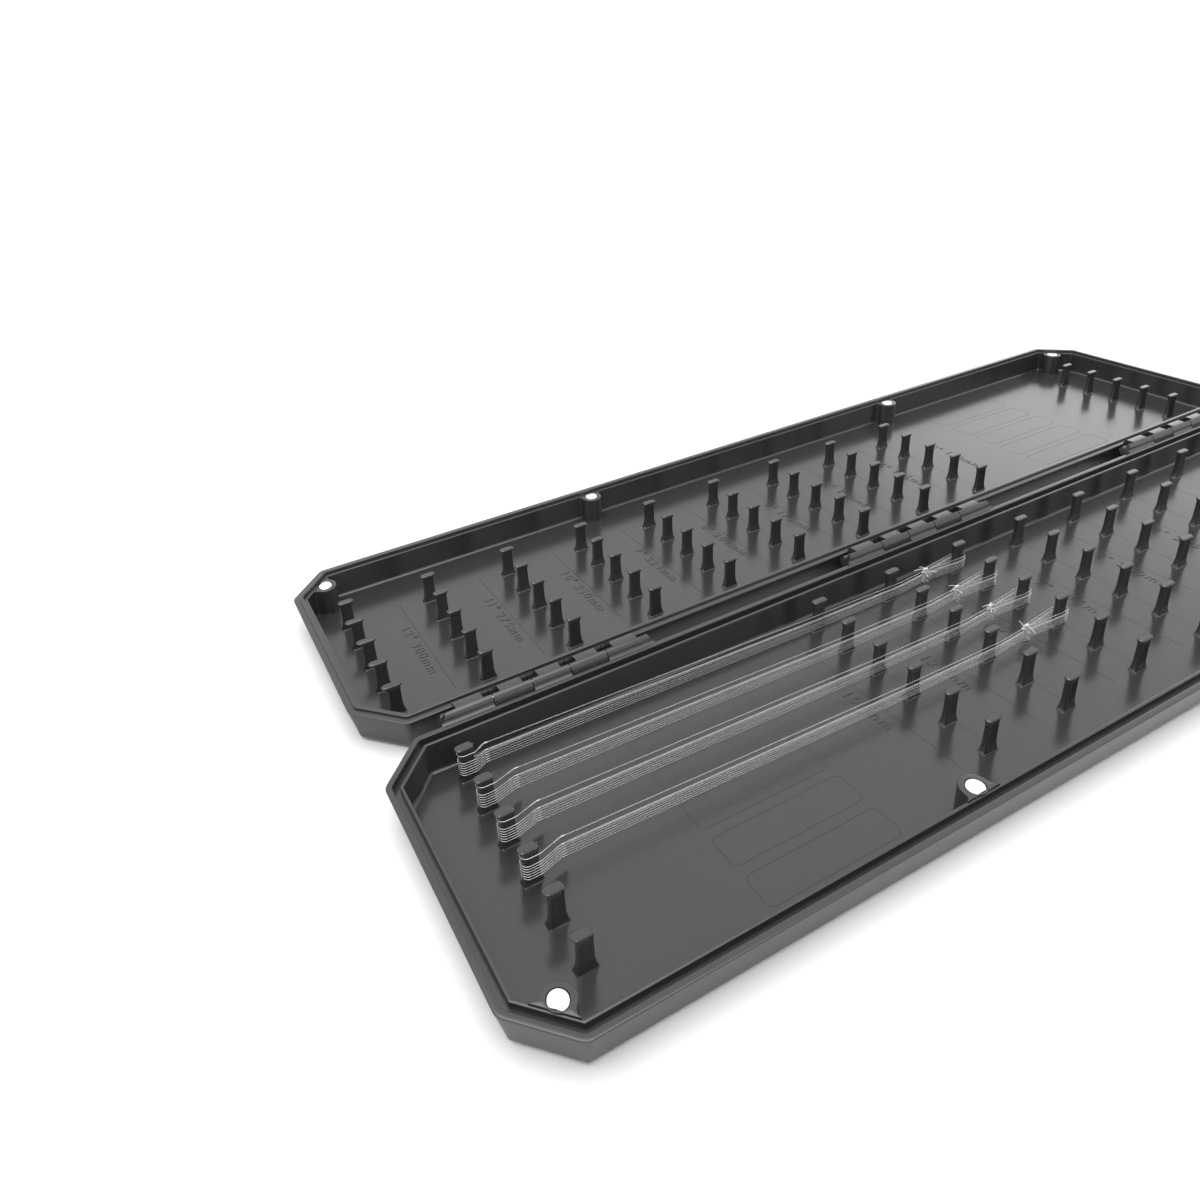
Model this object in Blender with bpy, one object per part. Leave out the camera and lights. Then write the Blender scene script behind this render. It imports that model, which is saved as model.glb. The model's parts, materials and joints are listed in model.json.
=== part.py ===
"""Fishing rig box: two shallow trays on three pin hinges, with peg rows and stretched hooklengths.

The case lies open flat. The hinge axis is the world X axis at rim height, the base tray lies
on the -Y side and the lid on the +Y side. The world origin is the middle of the footprint.
"""
import math

import bmesh
import bpy

MM = 0.001

# Case outline, alike for both trays
CASE_LENGTH = 328.6 * MM
TRAY_WIDTH = 74.6 * MM
AXIS_TO_WALL = 2.4 * MM
CHAMFER_LEG = 10.5 * MM
CORNER_RADIUS = 3.0 * MM
CORNER_RADIUS_MIN = 0.5 * MM
CORNER_STEPS = 2

# Tray section
FLOOR_THICKNESS = 1.8 * MM
TRAY_DEPTH = 8.0 * MM
RIM_GAP_CLOSED = 0.2 * MM
WALL_DRAFT = 1.8 * MM
BOTTOM_ROUND = 2.4 * MM
EDGE_BREAK = 0.25 * MM
FLOOR_FILLET = 1.4 * MM
BOTTOM_ROUND_STEPS = 3
FLOOR_FILLET_STEPS = 2

# Rim joint: the lip of the lid goes into the groove of the base
LEDGE_WIDTH = 1.6 * MM
LIP_WIDTH = 1.05 * MM
LIP_HEIGHT = 0.8 * MM
LIP_CLEARANCE = 0.25 * MM
SHELF_DROP = 0.3 * MM
GROOVE_DEPTH = 1.2 * MM
RIDGE_WIDTH = 0.75 * MM
RIDGE_DROP = 0.2 * MM

# Pegs
PEG_PITCH = 25.0 * MM
LINE_PITCH = 10.0 * MM
SHORTEST_RIG = 97.0 * MM
OUTER_LANE = 12.0 * MM
ROW_MARGIN = 11.3 * MM
ANCHOR_MARGIN = 18.7 * MM
LID_FIRST_LINE = 16.5 * MM
BASE_FIRST_LINE = 11.5 * MM
LID_PEG_HEIGHT = 8.7 * MM
BASE_PEG_HEIGHT = 9.0 * MM
PEG_THICKNESS = 1.7 * MM
PEG_FOOT_LENGTH = 4.9 * MM
PEG_WAIST_LENGTH = 3.4 * MM
PEG_HEAD_LENGTH = 4.5 * MM
PEG_FLARE_HEIGHT = 1.0 * MM
PEG_HEAD_DEPTH = 0.8 * MM
PEG_NECK_DEPTH = 0.5 * MM

# Magnets and the posts that carry them
MAGNET_RADIUS = 1.9 * MM
MAGNET_THICKNESS = 1.5 * MM
MAGNET_CLEARANCE = 0.15 * MM
MAGNET_SIDES = 12
POST_RADIUS = 3.2 * MM
POST_INSET = 5.1 * MM
POST_FLARE = 1.6 * MM
POST_STEPS = 8
LID_POST_HEIGHT = 7.7 * MM
BASE_POST_HEIGHT = 8.3 * MM
SIDE_POST_OFFSET = 65.0 * MM
CORNER_POST_MARGIN = 9.8 * MM

# Hinges
HINGE_MARGIN = 45.2 * MM
KNUCKLE_PITCH = 10.05 * MM
KNUCKLE_GAP = 0.3 * MM
END_KNUCKLE_LENGTH = 12.3 * MM
END_SLOPE = 1.5 * MM
BARREL_RADIUS = 1.4 * MM
BARREL_FRONT_TURNS = (-30, -15, 0, 25)
BARREL_TOP_TURNS = (50, 90, 130)
BARREL_BACK_TURNS = (155, 180, 200)
BARREL_UNDER_TURNS = (225, 270, 315)
NOSE_REACH = 2.05 * MM
NOSE_DEPTH = 0.25 * MM
NOSE_LENGTH = 5.6 * MM
FILLET_REACH = 1.65 * MM
FILLET_RISE = 0.3 * MM
WEB_ROOT = 0.9 * MM
WEB_TOP_DROP = 0.5 * MM
WEB_DEPTH = 2.5 * MM
WINDOW_WIDTH = 4.4 * MM
WINDOW_DEPTH = 2.1 * MM
WINDOW_LIP_WALL = 0.2 * MM
PIN_RADIUS = 0.6 * MM
PIN_SIDES = 8
PIN_CLEARANCE = 0.15 * MM
PIN_END_COVER = 1.6 * MM
PIN_END_GAP = 0.3 * MM

# Rigs on the first lanes of the base
RIG_LANES = 4
STACKED_RIGS = 4
HOOK_FIRST_HEIGHT = 2.2 * MM
HOOK_STACK_PITCH = 1.1 * MM
TOP_HOOK_HEIGHT = 7.5 * MM
LOOP_FIRST_HEIGHT = 1.4 * MM
LOOP_STACK_PITCH = 0.8 * MM
TOP_LOOP_HEIGHT = 4.8 * MM
HOOK_WIRE_RADIUS = 0.28 * MM
HOOK_GAPE_RADIUS = 1.45 * MM
SMALL_HOOK_REACH = 5.4 * MM
HOOK_REACH = 7.8 * MM
HOOK_POINT_LENGTH = 3.6 * MM
HOOK_POINT_TURN = 0.1 * MM
HOOK_SHANK_START = 2.4 * MM
HOOK_ARC_STEPS = 6
LINE_RADIUS = 0.175 * MM
LINE_KNOT_REACH = 13.0 * MM
LINE_KNOT_SPREAD = 0.5 * MM
LINE_TAIL_LEAD = 1.0 * MM
LOOP_PEG_ROW = 2
SEAT_GAP = 0.3 * MM

# One overrun serves all cuts, one sink all parts that grow out of a floor or wall
OVERRUN = 1.0 * MM
SINK = 0.5 * MM
MERGE_DISTANCE = 0.001 * MM

# Worked out from the sizes above
HALF_LENGTH = CASE_LENGTH / 2
HALF_WIDTH = TRAY_WIDTH / 2
TRAY_CENTRE = AXIS_TO_WALL + HALF_WIDTH
OUTER_EDGE = AXIS_TO_WALL + TRAY_WIDTH
RIM_HEIGHT = FLOOR_THICKNESS + TRAY_DEPTH
AXIS_DROP = RIM_GAP_CLOSED / 2
AXIS_HEIGHT = RIM_HEIGHT + AXIS_DROP
LIP_END = LEDGE_WIDTH + LIP_WIDTH
GROOVE_START = LEDGE_WIDTH - LIP_CLEARANCE
GROOVE_END = LIP_END + LIP_CLEARANCE
INNER_WALL = GROOVE_END + RIDGE_WIDTH
ROW_SPAN = CASE_LENGTH - ROW_MARGIN - ANCHOR_MARGIN - SHORTEST_RIG
PEG_ROWS = 1 + int(ROW_SPAN / PEG_PITCH)
LID_LINES = 1 + int((OUTER_EDGE - OUTER_LANE - LID_FIRST_LINE) / LINE_PITCH)
BASE_LINES = 1 + int((OUTER_EDGE - OUTER_LANE - BASE_FIRST_LINE) / LINE_PITCH)
CORNER_POST_OFFSET = HALF_LENGTH - CORNER_POST_MARGIN
POCKET_DEPTH = MAGNET_THICKNESS + MAGNET_CLEARANCE
BORE_RADIUS = PIN_RADIUS + PIN_CLEARANCE
SPLIT_INNER = KNUCKLE_PITCH / 2
SPLIT_OUTER = SPLIT_INNER + KNUCKLE_PITCH
HINGE_END = SPLIT_OUTER + END_KNUCKLE_LENGTH
HINGE_OFFSET = HALF_LENGTH - HINGE_MARGIN
HINGE_CENTRES = (-HINGE_OFFSET, 0, HINGE_OFFSET)
LOOP_SIDE = PEG_THICKNESS / 2 + SEAT_GAP + LINE_RADIUS
LOOP_END = PEG_WAIST_LENGTH / 2 + SEAT_GAP + LINE_RADIUS


def clear_scene():
    """Remove whatever objects the open file holds."""
    for old in list(bpy.data.objects):
        bpy.data.objects.remove(old, do_unlink=True)


def make_material(name, colour, roughness, metallic=0.0):
    """A plain Principled finish."""
    finish = bpy.data.materials.new(name)
    finish.use_nodes = True
    shader = finish.node_tree.nodes["Principled BSDF"]
    shader.inputs["Base Color"].default_value = (*colour, 1.0)
    shader.inputs["Roughness"].default_value = roughness
    shader.inputs["Metallic"].default_value = metallic
    return finish


def link_object(name, data, finish=None, parent=None, location=(0, 0, 0)):
    """Put one object into the scene and return it."""
    item = bpy.data.objects.new(name, data)
    bpy.context.scene.collection.objects.link(item)
    if finish is not None:
        data.materials.append(finish)
    item.parent = parent
    item.location = location
    return item


def finish_mesh(name, bm):
    """Weld the doubled points, turn the faces outwards and return the mesh."""
    bmesh.ops.remove_doubles(bm, verts=bm.verts, dist=MERGE_DISTANCE)
    bmesh.ops.dissolve_degenerate(bm, edges=bm.edges, dist=MERGE_DISTANCE)
    bmesh.ops.recalc_face_normals(bm, faces=bm.faces)
    mesh = bpy.data.meshes.new(name)
    bm.to_mesh(mesh)
    bm.free()
    return mesh


def loft(bm, loops):
    """Join closed loops of equal count into one skin with a cap at each end."""
    rings = [[bm.verts.new(point) for point in loop] for loop in loops]
    count = len(rings[0])
    for low, high in zip(rings, rings[1:]):
        for i in range(count):
            j = (i + 1) % count
            bm.faces.new((low[i], low[j], high[j], high[i]))
    bm.faces.new(list(reversed(rings[0])))
    bm.faces.new(rings[-1])


def tray_outline(inset, height, side):
    """The chamfered outline drawn in by inset, with an arc at each of its eight corners."""
    radius = max(CORNER_RADIUS - inset, CORNER_RADIUS_MIN)
    diagonal = (HALF_LENGTH + HALF_WIDTH - CHAMFER_LEG) / math.sqrt(2)
    reaches = (HALF_LENGTH, diagonal, HALF_WIDTH, diagonal)
    turn = math.radians(45)
    points = []
    for corner in range(8):
        first = corner * turn
        second = first + turn
        reach_1 = reaches[corner % 4] - inset - radius
        reach_2 = reaches[(corner + 1) % 4] - inset - radius
        spread = math.sin(turn)
        x = (reach_1 * math.sin(second) - reach_2 * math.sin(first)) / spread
        y = (reach_2 * math.cos(first) - reach_1 * math.cos(second)) / spread
        for step in range(CORNER_STEPS + 1):
            angle = first + turn * step / CORNER_STEPS
            px = x + radius * math.cos(angle)
            py = y + radius * math.sin(angle) + side * TRAY_CENTRE
            points.append((px, py, height))
    return points


def quarter_round(radius, steps):
    """How far in and how far up a quarter circle of this radius has come at each step."""
    turns = [math.radians(90) * step / steps for step in range(steps + 1)]
    return [(radius * (1 - math.sin(turn)), radius * (1 - math.cos(turn))) for turn in turns]


def outer_skin():
    """Inset and height of each outline up the outside, from the flat bottom to the rim edge."""
    edge = quarter_round(BOTTOM_ROUND, BOTTOM_ROUND_STEPS)
    skin = [(WALL_DRAFT + inward, upward) for inward, upward in edge]
    return skin + [(0, RIM_HEIGHT - EDGE_BREAK), (EDGE_BREAK, RIM_HEIGHT)]


def inner_skin():
    """Inset and height of each outline down the inside wall and round its foot to the floor."""
    foot = quarter_round(FLOOR_FILLET, FLOOR_FILLET_STEPS)
    return [(INNER_WALL + inward, FLOOR_THICKNESS + upward) for inward, upward in reversed(foot)]


def tray_shell(bm, side, rim):
    """The bare tray: outer skin, rim profile and inner skin in one loft."""
    section = outer_skin() + rim + inner_skin()
    loft(bm, [tray_outline(inset, height, side) for inset, height in section])


def lid_rim():
    """Flat ledge, the lip that stands up from it, and a flat shelf a little under the ledge."""
    lip_top = RIM_HEIGHT + LIP_HEIGHT
    shelf = RIM_HEIGHT - SHELF_DROP
    return [
        (LEDGE_WIDTH, RIM_HEIGHT),
        (LEDGE_WIDTH, lip_top - EDGE_BREAK),
        (LEDGE_WIDTH + EDGE_BREAK, lip_top),
        (LIP_END - EDGE_BREAK, lip_top),
        (LIP_END, lip_top - EDGE_BREAK),
        (LIP_END, shelf),
        (INNER_WALL - EDGE_BREAK, shelf),
        (INNER_WALL, shelf - EDGE_BREAK),
    ]


def base_rim():
    """Flat rim, the groove that takes the lip, and the inner ridge."""
    groove_floor = RIM_HEIGHT - GROOVE_DEPTH
    ridge_top = RIM_HEIGHT - RIDGE_DROP
    return [
        (GROOVE_START, RIM_HEIGHT),
        (GROOVE_START, groove_floor),
        (GROOVE_END, groove_floor),
        (GROOVE_END, ridge_top),
        (INNER_WALL - EDGE_BREAK, ridge_top),
        (INNER_WALL, ridge_top - EDGE_BREAK),
    ]


def add_peg(bm, x, y, height):
    """One peg: flared foot, waist and wider head in side view, of one thickness across."""
    foot = PEG_FOOT_LENGTH / 2
    waist = PEG_WAIST_LENGTH / 2
    head = PEG_HEAD_LENGTH / 2
    head_base = height - PEG_HEAD_DEPTH
    side_view = [
        (foot, -SINK),
        (waist, PEG_FLARE_HEIGHT),
        (waist, head_base - PEG_NECK_DEPTH),
        (head, head_base),
        (head, height),
    ]
    outline = side_view + [(-across, up) for across, up in reversed(side_view)]
    half = PEG_THICKNESS / 2
    loops = []
    for offset in (-half, half):
        loops.append([(x + across, y + offset, FLOOR_THICKNESS + up) for across, up in outline])
    loft(bm, loops)


def lid_peg_rows():
    """Length positions of the graduated rows of the lid, then of its anchor row."""
    rows = [-HALF_LENGTH + ROW_MARGIN + row * PEG_PITCH for row in range(PEG_ROWS)]
    return rows + [HALF_LENGTH - ANCHOR_MARGIN]


def base_peg_rows():
    """The base has the same rows as the lid, turned end for end."""
    return [-x for x in reversed(lid_peg_rows())]


def line_places(first, count):
    """Distances of the peg lines from the hinge axis."""
    return [first + line * LINE_PITCH for line in range(count)]


def post_places():
    """Centres of the four posts of a tray: along X, from the hinge axis, and the way to the wall."""
    corner_reach = HALF_LENGTH + OUTER_EDGE - CHAMFER_LEG - POST_INSET * math.sqrt(2)
    corner_y = corner_reach - CORNER_POST_OFFSET
    side_y = OUTER_EDGE - POST_INSET
    return [
        (-CORNER_POST_OFFSET, corner_y, math.radians(135)),
        (-SIDE_POST_OFFSET, side_y, math.radians(90)),
        (SIDE_POST_OFFSET, side_y, math.radians(90)),
        (CORNER_POST_OFFSET, corner_y, math.radians(45)),
    ]


def add_post(bm, x, y, towards_wall, height, side):
    """A post that is round towards the case and widens into the wall behind it."""
    reach = POST_INSET - INNER_WALL + SINK
    outline = []
    for step in range(POST_STEPS + 1):
        angle = towards_wall + math.radians(90) + math.radians(180) * step / POST_STEPS
        outline.append((POST_RADIUS * math.cos(angle), POST_RADIUS * math.sin(angle)))
    along = (math.cos(towards_wall), math.sin(towards_wall))
    half_root = POST_RADIUS + POST_FLARE
    for across in (-half_root, half_root):
        px = reach * along[0] - across * along[1]
        py = reach * along[1] + across * along[0]
        outline.append((px, py))
    loops = []
    for level in (FLOOR_THICKNESS - SINK, FLOOR_THICKNESS + height):
        loops.append([(x + px, side * (y + py), level) for px, py in outline])
    loft(bm, loops)


def knuckle_section(has_web, has_nose):
    """Section of a knuckle about the axis: first towards its own tray, then upwards.

    A round barrel. The web ties it to the rim of its own tray, the nose fills the gap
    to the rim of the other tray. Where either is missing its points lie on the barrel.
    """
    def on_barrel(turns):
        angles = [math.radians(turn) for turn in turns]
        return [(BARREL_RADIUS * math.cos(angle), BARREL_RADIUS * math.sin(angle)) for angle in angles]

    root = AXIS_TO_WALL + WEB_ROOT
    web = [(root, -WEB_DEPTH), (root, -AXIS_DROP - WEB_TOP_DROP), (NOSE_REACH, -AXIS_DROP),
           (FILLET_REACH, FILLET_RISE)]
    if not has_web:
        web = on_barrel(BARREL_FRONT_TURNS)
    nose = [(-FILLET_REACH, FILLET_RISE), (-NOSE_REACH, -AXIS_DROP), (-NOSE_REACH, -AXIS_DROP - NOSE_DEPTH)]
    if not has_nose:
        nose = on_barrel(BARREL_BACK_TURNS)
    return web + on_barrel(BARREL_TOP_TURNS) + nose + on_barrel(BARREL_UNDER_TURNS)


def add_knuckle(bm, stations, side):
    """Loft a knuckle through its stations: place along X, end slope, and what the section has."""
    loops = []
    for x, slope, has_web, has_nose in stations:
        loop = []
        for towards, up in knuckle_section(has_web, has_nose):
            drop = min(max(BARREL_RADIUS - up, 0) / BARREL_RADIUS, 1)
            loop.append((x + slope * drop, side * towards, AXIS_HEIGHT + up))
        loops.append(loop)
    loft(bm, loops)


def middle_stations(centre, is_base):
    """Stations of a knuckle between two others: the base keeps its web, the lid its nose."""
    half = KNUCKLE_PITCH / 2 - KNUCKLE_GAP / 2
    part = NOSE_LENGTH / 2
    plain = (is_base, not is_base)
    return [
        (centre - half, 0, *plain),
        (centre - part, 0, *plain),
        (centre - part, 0, True, True),
        (centre + part, 0, True, True),
        (centre + part, 0, *plain),
        (centre + half, 0, *plain),
    ]


def end_stations(hinge, way):
    """Stations of an end knuckle of the base, whose outer face slopes down to the rim."""
    inner = SPLIT_OUTER + KNUCKLE_GAP / 2
    nose_start = SPLIT_OUTER + WINDOW_WIDTH / 2
    nose_end = nose_start + NOSE_LENGTH
    return [
        (hinge + way * inner, 0, True, False),
        (hinge + way * nose_start, 0, True, False),
        (hinge + way * nose_start, 0, True, True),
        (hinge + way * nose_end, 0, True, True),
        (hinge + way * nose_end, 0, True, False),
        (hinge + way * HINGE_END, way * END_SLOPE, True, False),
    ]


def add_knuckles(bm, hinge, side, is_base):
    """All knuckles of one hinge that grow from one tray."""
    if is_base:
        add_knuckle(bm, middle_stations(hinge, True), side)
        for way in (-1, 1):
            add_knuckle(bm, end_stations(hinge, way), side)
    else:
        for way in (-1, 1):
            add_knuckle(bm, middle_stations(hinge + way * KNUCKLE_PITCH, False), side)


def add_rod(bm, x_low, x_high, y, z, radius, sides):
    """A round bar along X."""
    turns = [math.radians(360) * step / sides for step in range(sides)]
    ring = [(y + radius * math.cos(turn), z + radius * math.sin(turn)) for turn in turns]
    loft(bm, [[(x, py, pz) for py, pz in ring] for x in (x_low, x_high)])


def add_disc(bm, x, y, z_low, z_high, radius, sides):
    """A round slug along Z."""
    turns = [math.radians(360) * step / sides for step in range(sides)]
    ring = [(x + radius * math.cos(turn), y + radius * math.sin(turn)) for turn in turns]
    loft(bm, [[(px, py, z) for px, py in ring] for z in (z_low, z_high)])


def add_block(bm, low, high):
    """A square block between two opposite corners."""
    corners = [(low[0], low[1]), (high[0], low[1]), (high[0], high[1]), (low[0], high[1])]
    loft(bm, [[(px, py, z) for px, py in corners] for z in (low[2], high[2])])


def pin_span(hinge):
    """Both ends of a hinge pin: covered at its left end, put in from the right."""
    low = hinge - HINGE_END + PIN_END_COVER + PIN_END_GAP
    high = hinge + HINGE_END - PIN_END_GAP
    return low, high


def add_tray_cuts(bm, side, post_height, is_base):
    """Magnet pockets, hinge bores and, on the lid, the windows beside each knuckle split."""
    for x, y, _ in post_places():
        top = FLOOR_THICKNESS + post_height
        radius = MAGNET_RADIUS + MAGNET_CLEARANCE
        add_disc(bm, x, side * y, top - POCKET_DEPTH, top + OVERRUN, radius, MAGNET_SIDES)
    for hinge in HINGE_CENTRES:
        low, _ = pin_span(hinge)
        high = hinge + HINGE_END + END_SLOPE + OVERRUN
        add_rod(bm, low - PIN_END_GAP, high, 0, AXIS_HEIGHT, BORE_RADIUS, PIN_SIDES)
        if is_base:
            continue
        for split in (-SPLIT_OUTER, -SPLIT_INNER, SPLIT_INNER, SPLIT_OUTER):
            middle = hinge + split
            near = AXIS_TO_WALL - WINDOW_LIP_WALL
            far = AXIS_TO_WALL + LEDGE_WIDTH - WINDOW_LIP_WALL
            low_corner = (middle - WINDOW_WIDTH / 2, side * near, RIM_HEIGHT - WINDOW_DEPTH)
            high_corner = (middle + WINDOW_WIDTH / 2, side * far, RIM_HEIGHT + OVERRUN)
            add_block(bm, low_corner, high_corner)


def add_boolean(item, other, operation):
    """Unite or cut item with other, and keep other out of the model."""
    modifier = item.modifiers.new(operation.title(), "BOOLEAN")
    modifier.operation = operation
    modifier.object = other
    modifier.solver = "EXACT"
    other.hide_render = True
    other.display_type = "WIRE"


def build_tray(name, finish, parent, side, is_base):
    """One tray with its pegs, posts and knuckles united, and its pockets and bores cut."""
    rim = base_rim() if is_base else lid_rim()
    post_height = BASE_POST_HEIGHT if is_base else LID_POST_HEIGHT
    peg_height = BASE_PEG_HEIGHT if is_base else LID_PEG_HEIGHT
    rows = base_peg_rows() if is_base else lid_peg_rows()
    lines = line_places(BASE_FIRST_LINE, BASE_LINES) if is_base else line_places(LID_FIRST_LINE, LID_LINES)
    place = (0, 0, 0) if is_base else (0, 0, -AXIS_HEIGHT)

    bm = bmesh.new()
    tray_shell(bm, side, rim)
    shell = finish_mesh(name, bm)
    shell.shade_smooth()
    shell.set_sharp_from_angle(angle=math.radians(30))
    tray = link_object(name, shell, finish, parent, place)

    bm = bmesh.new()
    for x in rows:
        for y in lines:
            add_peg(bm, x, side * y, peg_height)
    for x, y, towards in post_places():
        add_post(bm, x, y, towards, post_height, side)
    for hinge in HINGE_CENTRES:
        add_knuckles(bm, hinge, side, is_base)
    growths = link_object(name + "_growths", finish_mesh(name + "_growths", bm), finish, parent, place)

    bm = bmesh.new()
    add_tray_cuts(bm, side, post_height, is_base)
    cuts = link_object(name + "_cuts", finish_mesh(name + "_cuts", bm), finish, parent, place)

    add_boolean(tray, growths, "UNION")
    add_boolean(tray, cuts, "DIFFERENCE")
    return tray


def build_magnets(prefix, finish, parent, side, post_height, base_level):
    """Four disc magnets, each on the floor of its pocket with its face level with the post."""
    bm = bmesh.new()
    add_disc(bm, 0, 0, 0, MAGNET_THICKNESS, MAGNET_RADIUS, MAGNET_SIDES)
    mesh = finish_mesh("magnet", bm)
    mesh.materials.append(finish)
    seat = base_level + FLOOR_THICKNESS + post_height - MAGNET_THICKNESS
    for number, (x, y, _) in enumerate(post_places(), start=1):
        link_object(f"{prefix}_magnet_{number}", mesh, None, parent, (x, side * y, seat))


def build_pins(finish):
    """One steel pin through the five knuckles of each hinge."""
    for name, hinge in zip(("left", "middle", "right"), HINGE_CENTRES):
        low, high = pin_span(hinge)
        bm = bmesh.new()
        add_rod(bm, low - hinge, high - hinge, 0, 0, PIN_RADIUS, PIN_SIDES)
        link_object(f"hinge_pin_{name}", finish_mesh("hinge_pin", bm), finish, None, (hinge, 0, AXIS_HEIGHT))


def hook_outline(reach):
    """Centre line of a hook seen from above, about the middle of its peg, from point to eye."""
    bend_back = PEG_WAIST_LENGTH / 2 + SEAT_GAP + HOOK_WIRE_RADIUS
    centre = HOOK_GAPE_RADIUS - bend_back
    points = [(centre + HOOK_POINT_LENGTH, HOOK_GAPE_RADIUS - HOOK_POINT_TURN)]
    for step in range(HOOK_ARC_STEPS + 1):
        angle = math.radians(90) + math.radians(180) * step / HOOK_ARC_STEPS
        points.append((centre + HOOK_GAPE_RADIUS * math.cos(angle), HOOK_GAPE_RADIUS * math.sin(angle)))
    points.append((centre + HOOK_SHANK_START, -HOOK_GAPE_RADIUS))
    points.append((reach, 0))
    return [(x, y, 0) for x, y in points]


def line_route(x_eye, x_rows, y, hook_height, loop_height):
    """Route of a hooklength: from the hook's eye, past two pegs and round the third one."""
    x_loop = x_rows[LOOP_PEG_ROW]
    half = PEG_FOOT_LENGTH / 2
    knot = x_loop - LINE_KNOT_REACH
    corner = PEG_WAIST_LENGTH / 2
    inner = PEG_THICKNESS / 2
    flat = [(x_eye, 0)]
    flat += [(x_rows[0] - half, -LOOP_SIDE), (x_rows[LOOP_PEG_ROW - 1] + half, -LOOP_SIDE)]
    flat += [(knot, -LINE_KNOT_SPREAD), (x_loop - corner, -LOOP_SIDE), (x_loop + corner, -LOOP_SIDE)]
    flat += [(x_loop + LOOP_END, -inner), (x_loop + LOOP_END, inner)]
    flat += [(x_loop + corner, LOOP_SIDE), (x_loop - corner, LOOP_SIDE), (knot + LINE_TAIL_LEAD, LINE_KNOT_SPREAD)]
    points = []
    for x, across in flat:
        share = min((x - x_eye) / (knot - x_eye), 1)
        height = hook_height + (loop_height - hook_height) * share
        points.append((x, y + across, FLOOR_THICKNESS + height))
    return points


def tube_curve(name, points, radius, resolution):
    """A closed round tube along straight runs between the points."""
    curve = bpy.data.curves.new(name, "CURVE")
    curve.dimensions = "3D"
    curve.bevel_depth = radius
    curve.bevel_resolution = resolution
    curve.use_fill_caps = True
    spline = curve.splines.new("POLY")
    spline.points.add(len(points) - 1)
    for target, point in zip(spline.points, points):
        target.co = (*point, 1.0)
    return curve


def build_rigs(steel, nylon):
    """Hooks on the anchor pegs of the first lanes and their hooklengths to the far pegs."""
    anchor, *x_rows = base_peg_rows()
    heights = []
    for level in range(STACKED_RIGS):
        hook_height = HOOK_FIRST_HEIGHT + level * HOOK_STACK_PITCH
        heights.append((hook_height, LOOP_FIRST_HEIGHT + level * LOOP_STACK_PITCH))
    heights.append((TOP_HOOK_HEIGHT, TOP_LOOP_HEIGHT))
    lanes = line_places(BASE_FIRST_LINE, BASE_LINES)[:RIG_LANES]
    for lane, distance in enumerate(lanes, start=1):
        reach = SMALL_HOOK_REACH if lane == 1 else HOOK_REACH
        hook = tube_curve("hook", hook_outline(reach), HOOK_WIRE_RADIUS, 1)
        hook.materials.append(steel)
        for level, (hook_height, loop_height) in enumerate(heights, start=1):
            place = (anchor, -distance, FLOOR_THICKNESS + hook_height)
            link_object(f"hook_{lane}_{level}", hook, None, None, place)
            x_eye = anchor + reach + SEAT_GAP
            route = line_route(x_eye, x_rows, -distance, hook_height, loop_height)
            name = f"hooklength_{lane}_{level}"
            link_object(name, tube_curve(name, route, LINE_RADIUS, 2), nylon)


def main():
    """Build the whole case, open flat."""
    clear_scene()
    plastic = make_material("dark_grey_plastic", (0.075, 0.075, 0.077), 0.38)
    lid_plastic = make_material("dark_grey_plastic_lid", (0.075, 0.075, 0.077), 0.38)
    nickel = make_material("nickel_magnet", (0.80, 0.80, 0.80), 0.22, 1.0)
    pin_steel = make_material("pin_steel", (0.55, 0.55, 0.56), 0.30, 1.0)
    hook_steel = make_material("hook_steel", (0.42, 0.42, 0.43), 0.22, 1.0)
    nylon = make_material("clear_nylon", (0.72, 0.72, 0.72), 0.30)

    build_tray("base_tray", plastic, None, -1, True)
    build_magnets("base", nickel, None, -1, BASE_POST_HEIGHT, 0)

    lid_axis = link_object("lid_axis", None, None, None, (0, 0, AXIS_HEIGHT))
    build_tray("lid_tray", lid_plastic, lid_axis, 1, False)
    build_magnets("lid", nickel, lid_axis, 1, LID_POST_HEIGHT, -AXIS_HEIGHT)

    build_pins(pin_steel)
    build_rigs(hook_steel, nylon)
    bpy.context.view_layer.update()


main()
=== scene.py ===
"""Fishing rig box: finished trays, pegs, hinges, magnets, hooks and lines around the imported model.

The hinge axis is the X axis at rim height, the base tray lies on the -Y side and the lid on the +Y side.
"""
import math

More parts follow.
